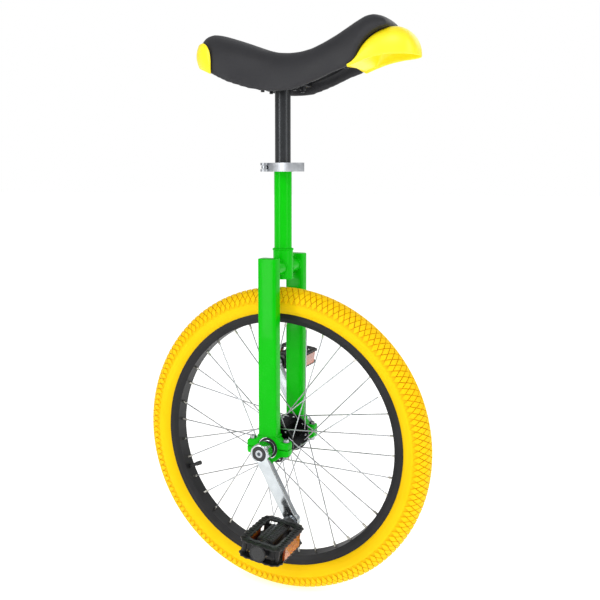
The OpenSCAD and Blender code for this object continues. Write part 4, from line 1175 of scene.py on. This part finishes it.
PEDAL_TILT = math.radians(7)
PEDAL_WIDE, PEDAL_HALF, BARREL_R = 69 * MM, 13.5 * MM, 12.5 * MM


def pedal_put(centre, side):
    """Carries (length ahead, height, distance out) of a pedal into the row frame."""
    c, s = math.cos(PEDAL_TILT), math.sin(PEDAL_TILT)

    def put(u, v, w):
        return Vector((centre.x + u * c + v * s * 1.0, side * w, centre.z - u * s + v * c))
    return put


def scalloped(width, height, radius, depth, waves):
    """A round-cornered rectangle whose edge runs in and out in even scallops."""
    ring = np.array(rounded_box(width, height, radius, (0, 0), 8))
    ring = np.vstack((ring, ring[:1]))
    along = np.concatenate(([0], np.cumsum(np.hypot(*np.diff(ring, axis=0).T))))
    count = waves * 6
    at = np.arange(count) / count * along[-1]
    line = np.column_stack([np.interp(at, along, ring[:, c]) for c in (0, 1)])
    push = [depth * (0.5 - 0.5 * math.cos(2 * math.pi * waves * k / count)) for k in range(count)]
    return moved_in(line, push)


def moved_in(line, push):
    """Each point of a closed counterclockwise line moved inwards by its own amount."""
    ahead = np.roll(line, -1, axis=0) - np.roll(line, 1, axis=0)
    ahead /= np.linalg.norm(ahead, axis=1, keepdims=True)
    inward = np.column_stack((-ahead[:, 1], ahead[:, 0]))
    return [tuple(p) for p in line + inward * np.array(push)[:, None]]


def make_pedal(centre, side, inner, outer, tooth):
    """A moulded platform pedal: two scalloped decks with grip studs, held by corner posts and webs
    around a broad ribbed barrel."""
    put = pedal_put(centre, side)
    parts = []
    length, middle = outer - inner, (inner + outer) / 2
    wide, window_w, window_l = PEDAL_WIDE, PEDAL_WIDE - 27 * MM, 68 * MM
    deck_t, web_h, web_t, stud_pitch = 3.5 * MM, 4.2 * MM, 1.6 * MM, 6.2 * MM
    top = PEDAL_HALF - 0.1 * MM
    # The two decks, each with its ring of grip studs turned alternately
    for up in (-1, 1):
        def deck(u, v, w):
            return put(u, up * w, middle + v)
        parts.append(plate(scalloped(wide, length, 16 * MM, 1.6 * MM, 30),
            [scalloped(window_w, window_l, 6 * MM, -1.2 * MM, 20)], top - deck_t, top - tooth * 0.5,
            0.6 * MM,
            deck, 2))
        studs = [(u * (wide / 2 - 7 * MM), (k - 6) * stud_pitch) for u in (-1, 1) for k in range(13)]
        studs += [(k * 6.6 * MM, v * 41.2 * MM) for v in (-1, 1) for k in (-2.5, -1.5, -0.5, 0.5, 1.5, 2.5)]
        for i, (u0, v0) in enumerate(studs):
            turn = 0.5 if i % 2 else -0.5
            c, d = math.cos(turn), math.sin(turn)
            rings = []
            for h, grow in ((top - tooth - 0.9 * MM, 1.0), (top - 0.3 * MM, 0.8), (top, 0.66)):
                rings.append([put(u0 + (a * c - b * d) * grow, up * h, middle + v0 + (a * d + b * c) * grow)
                    for a, b in rounded_box(8.0 * MM, 2.8 * MM, 1.0 * MM, (0, 0), 1)])
            parts.append(loft(rings))
    # Corner posts between the decks, and the webs that carry the barrel
    for u in (-1, 1):
        for v in (-1, 1):
            parts.append(loft([[put(u * (wide / 2 - 9 * MM) + x, h, middle + v * 35 * MM + y)
                for x, y in rounded_box(7 * MM, 8 * MM, 2 * MM, (0, 0), 3)] for h in (3.4 * MM - top,
                top - 3.4 * MM)]))
            web = middle + v * 36 * MM
            parts.append(loft([[put(u * x, h * web_h, web + y * web_t) for h, y in ((-1, -1), (1, -1), (1, 1),
                (-1, 1))] for x in (BARREL_R - 2 * MM, wide / 2 - 8 * MM)]))
    # The barrel over the spindle, finely ribbed
    steps = 40
    ribs = [(BARREL_R if k % 2 else BARREL_R - 0.6 * MM, inner + 6 * MM + (length - 12 * MM) * k / steps)
        for k in range(steps + 1)]
    shell = [(BARREL_R - 0.2 * MM, inner)] + ribs + [(BARREL_R, outer - 1.2 * MM),
        (BARREL_R - 0.4 * MM, outer - 0.3 * MM), (BARREL_R - 1.0 * MM, outer - 0.3 * MM),
        (8.0 * MM, outer - 3 * MM), (8.0 * MM, inner)]
    parts.append(loft([[put(r * math.cos(a), r * math.sin(a), w) for r, w in shell]
        for a in (2 * math.pi * i / 36 for i in range(36))], around=True))
    # The pebbled pads on the barrel that the sole rests on
    for up in (-1, 1):
        rings = []
        for h, grow in ((7.0, 1.0), (11.2, 1.0), (11.9, 0.94)):
            rings.append([put(x * grow, up * h * MM, middle + y * grow)
                for x, y in rounded_box(25 * MM, 52 * MM, 3 * MM, (0, 0), 4)])
        parts.append(loft(rings))
        for i in range(4):
            for k in range(9):
                u0, v0 = (i - 1.5) * 5.6 * MM, (k - 4) * 5.6 * MM
                parts.append(loft([[put(u0 + x * g, up * h * MM, middle + v0 + y * g)
                    for x, y in rounded_box(4.2 * MM, 4.2 * MM, 0.8 * MM, (0, 0), 1)]
                    for h, g in ((11.6, 1.0), (12.7, 0.7))]))
    return join_parts(*parts)


def make_pedal_cap(centre, side, outer):
    """The round cap over the pedal's outer bearing, with a dished face."""
    put = pedal_put(centre, side)
    r = BARREL_R - 1.1 * MM
    profile = [(0.05 * MM, outer - 0.9 * MM), (r - 2.4 * MM, outer - 0.9 * MM),
        (r - 1.7 * MM, outer - 0.2 * MM),
        (r - 0.9 * MM, outer), (r - 0.2 * MM, outer - 0.6 * MM), (r, outer - 3 * MM),
        (0.05 * MM, outer - 3 * MM)]
    rings = []
    for i in range(40):
        a = 2 * math.pi * i / 40
        rings.append([put(r * math.cos(a), r * math.sin(a), w) for r, w in profile])
    return loft(rings, around=True)


class UNICYCLE_OT_pedals(bpy.types.Operator):
    """Makes the two moulded platform pedals with their teeth, ribs and end caps"""
    bl_idname = "unicycle.pedals"
    bl_label = "Pedals"

    def execute(self, context):
        tooth = context.scene.unicycle_sizes.tooth
        for name, side, joint in (("right", -1, "right_pedal_spin"), ("left", 1, "left_pedal_spin")):
            low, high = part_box(name + "_pedal_body")
            inner, outer = min(abs(low.y), abs(high.y)), max(abs(low.y), abs(high.y))
            body = name + "_pedal"
            deck_in = outer - 97 * MM
            place_piece(name + "_pedal_platform", body, "pedal_resin", "pebbled_pedal_resin",
                *make_pedal(JOINTS[joint], side, deck_in, outer, tooth), 30, (name + "_pedal_body",))
            sleeve = pedal_put(JOINTS[joint], side)
            rings = []
            for i in range(32):
                a = 2 * math.pi * i / 32
                rings.append([sleeve(r * math.cos(a), r * math.sin(a), w) for r, w in
                    ((BARREL_R - 0.8 * MM, deck_in + 1 * MM), (BARREL_R - 0.4 * MM, deck_in - 3 * MM),
                     (BARREL_R - 0.6 * MM, inner + 1 * MM), (BARREL_R - 1.4 * MM, inner),
                     (8.0 * MM, inner), (8.0 * MM, deck_in + 1 * MM))])
            place_piece(name + "_pedal_neck", body, "pedal_resin", "pebbled_pedal_resin",
                *loft(rings, around=True), 30)
            place_piece(name + "_pedal_end_cap", body, "pedal_resin", "moulded_black_plastic",
                *make_pedal_cap(JOINTS[joint], side, outer), 30)
        return {"FINISHED"}


# ---- the frame's own parts, finished ----

FINISHES = {
    "green_powder_coat": ("crown_tubes", "seat_tube_sleeve", "seat_tube", "right_leg", "left_leg",
        "right_bearing_cap", "left_bearing_cap"),
    "zinc_plated_steel": ("crank_bolts", "clamp_skewer", "base_screws", "lever_cam_pin",
        "right_pedal_spindle", "left_pedal_spindle", "cap_bolts", "cap_nuts"),
    "ground_bearing_steel": ("bearing_balls", "bearing_inner_races", "bearing_outer_races", "axle",
    "axle_spacers"),
    "stainless_spoke_wire": ("spokes",),
    "nickel_plated_brass": ("spoke_nipples",),
    "turned_polished_aluminium": ("clamp_collar", "clamp_lever", "clamp_hand_nut"),
    "polished_forged_aluminium": ("right_crank", "left_crank"),
    "black_chromed_steel": ("seat_post",),
    "phosphated_black_steel": ("post_plate", "plate_studs", "plate_nuts"),
    "moulded_black_nylon": ("saddle_base",),
    "black_anodised_hub": ("hub_shell",),
    "black_anodised_rim": ("rim",),
    "moulded_black_rubber": ("bearing_seals", "rim_tape", "inner_tube", "valve_stem"),
    "moulded_black_plastic": ("valve_cap", "valve_ring", "crank_dust_rings", "right_pedal_cap",
    "left_pedal_cap"),
    "natural_nylon": ("ball_cages",),
    "white_acetal": ("right_pedal_bushes", "left_pedal_bushes"),
    "amber_acrylic": ("right_pedal_reflectors", "left_pedal_reflectors"),
    "pebbled_pedal_resin": ("right_pedal_body", "left_pedal_body"),
    "moulded_yellow_polyethylene": ("front_bumper", "rear_bumper"),
    "embossed_saddle_vinyl": ("saddle_cushion",),
    "yellow_tyre_rubber": ("tyre",),
}


class UNICYCLE_OT_finishes(bpy.types.Operator):
    """Gives every part of the frame the finish of what it is made of"""
    bl_idname = "unicycle.finishes"
    bl_label = "Frame finishes"

    def execute(self, context):
        named = {node: finish for finish, nodes in FINISHES.items() for node in nodes}
        for name, part in NODES.items():
            if name not in named:
                raise RuntimeError(name + " has no finish")
            for slot in part.material_slots:
                slot.material = MATERIALS[named[name]]
        return {"FINISHED"}


# ---- stage ----

class UNICYCLE_OT_stage(bpy.types.Operator):
    """Sets the pale floor, the soft studio light and the camera"""
    bl_idname = "unicycle.stage"
    bl_label = "Studio stage"

    def execute(self, context):
        scene = context.scene
        scene.view_settings.view_transform = "Standard"
        scene.view_settings.look = "None"
        ground = bpy.data.meshes.new("studio_floor")
        ground.from_pydata([(-30, -30, 0), (30, -30, 0), (30, 30, 0), (-30, 30, 0)], [], [(0, 1, 2, 3)])
        ground.materials.append(MATERIALS["pale_studio_floor"])
        floor = bpy.data.objects.new("studio_floor", ground)
        scene.collection.objects.link(floor)
        world = bpy.data.worlds.new("Studio")
        world.use_nodes = True
        background = world.node_tree.nodes["Background"]
        background.inputs["Color"].default_value = (1.0, 1.0, 1.0, 1.0)
        seen = add_node(world.node_tree, "ShaderNodeLightPath").outputs["Is Camera Ray"]
        world.node_tree.links.new(span(world.node_tree, seen, 0.5, 1.0), background.inputs["Strength"])
        scene.world = world
        centre = Vector((0, 0, 0.45))
        for name, place, width, height, power in (
                ("Key light", (0.9, -2.0, 2.6), 1.6, 1.2, 26.0),
                ("Left strip", (-1.05, -2.35, 1.2), 0.6, 2.0, 20.0),
                ("Back light", (0.6, 2.4, 2.2), 2.4, 1.4, 12.0),
                ("Right light", (2.5, -0.4, 1.2), 0.9, 2.2, 14.0)):
            lamp = bpy.data.lights.new(name, "AREA")
            lamp.shape, lamp.size, lamp.size_y, lamp.energy = "RECTANGLE", width, height, power
            light = bpy.data.objects.new(name, lamp)
            light.location = place
            light.rotation_euler = (centre - light.location).to_track_quat("-Z", "Y").to_euler()
            scene.collection.objects.link(light)
        lens = bpy.data.cameras.new("Camera")
        lens.lens, lens.sensor_width = 48.55, 36.0
        lens.shift_x, lens.shift_y = -0.0015, -0.083
        camera = bpy.data.objects.new("Camera", lens)
        camera.location = AXLE + Vector((0.5505, -1.1932, 0.4284))
        camera.rotation_euler = (math.radians(90 - 5.06), 0, math.radians(23.5))
        scene.collection.objects.link(camera)
        scene.camera = camera
        return {"FINISHED"}


OPERATORS = (
    UNICYCLE_OT_stage, UNICYCLE_OT_finishes, UNICYCLE_OT_tyre, UNICYCLE_OT_spokes, UNICYCLE_OT_legs,
    UNICYCLE_OT_welds, UNICYCLE_OT_fasteners, UNICYCLE_OT_cranks, UNICYCLE_OT_pedals, UNICYCLE_OT_padding,
    UNICYCLE_OT_bumpers,
)


class UNICYCLE_PT_looks(bpy.types.Panel):
    """Lists the unicycle's sizes, colours and pieces"""
    bl_idname = "UNICYCLE_PT_looks"
    bl_label = "Unicycle"
    bl_space_type = "VIEW_3D"
    bl_region_type = "UI"
    bl_category = "Unicycle"

    def draw(self, context):
        for group in (context.scene.unicycle_sizes, context.scene.unicycle_colours):
            for name in group.__annotations__:
                self.layout.prop(group, name)
        for operator in OPERATORS:
            self.layout.operator(operator.bl_idname)


CLASSES = (UnicycleSizes, UnicycleColours, *OPERATORS, UNICYCLE_PT_looks)


def register():
    for item in CLASSES:
        bpy.utils.register_class(item)
    bpy.types.Scene.unicycle_sizes = bpy.props.PointerProperty(type=UnicycleSizes)
    bpy.types.Scene.unicycle_colours = bpy.props.PointerProperty(type=UnicycleColours)


def unregister():
    del bpy.types.Scene.unicycle_sizes
    del bpy.types.Scene.unicycle_colours
    for item in reversed(CLASSES):
        bpy.utils.unregister_class(item)


def main():
    register()
    make_materials(bpy.context.scene.unicycle_colours)
    TREES.update(ring=ring_tree(), spots=spots_tree(), bead=bead_tree())
    for operator in OPERATORS:
        call = getattr(bpy.ops.unicycle, operator.bl_idname.split(".")[1])
        if call() != {"FINISHED"}:
            raise RuntimeError(operator.bl_label + " did not finish")


if __name__ == "__main__":
    main()
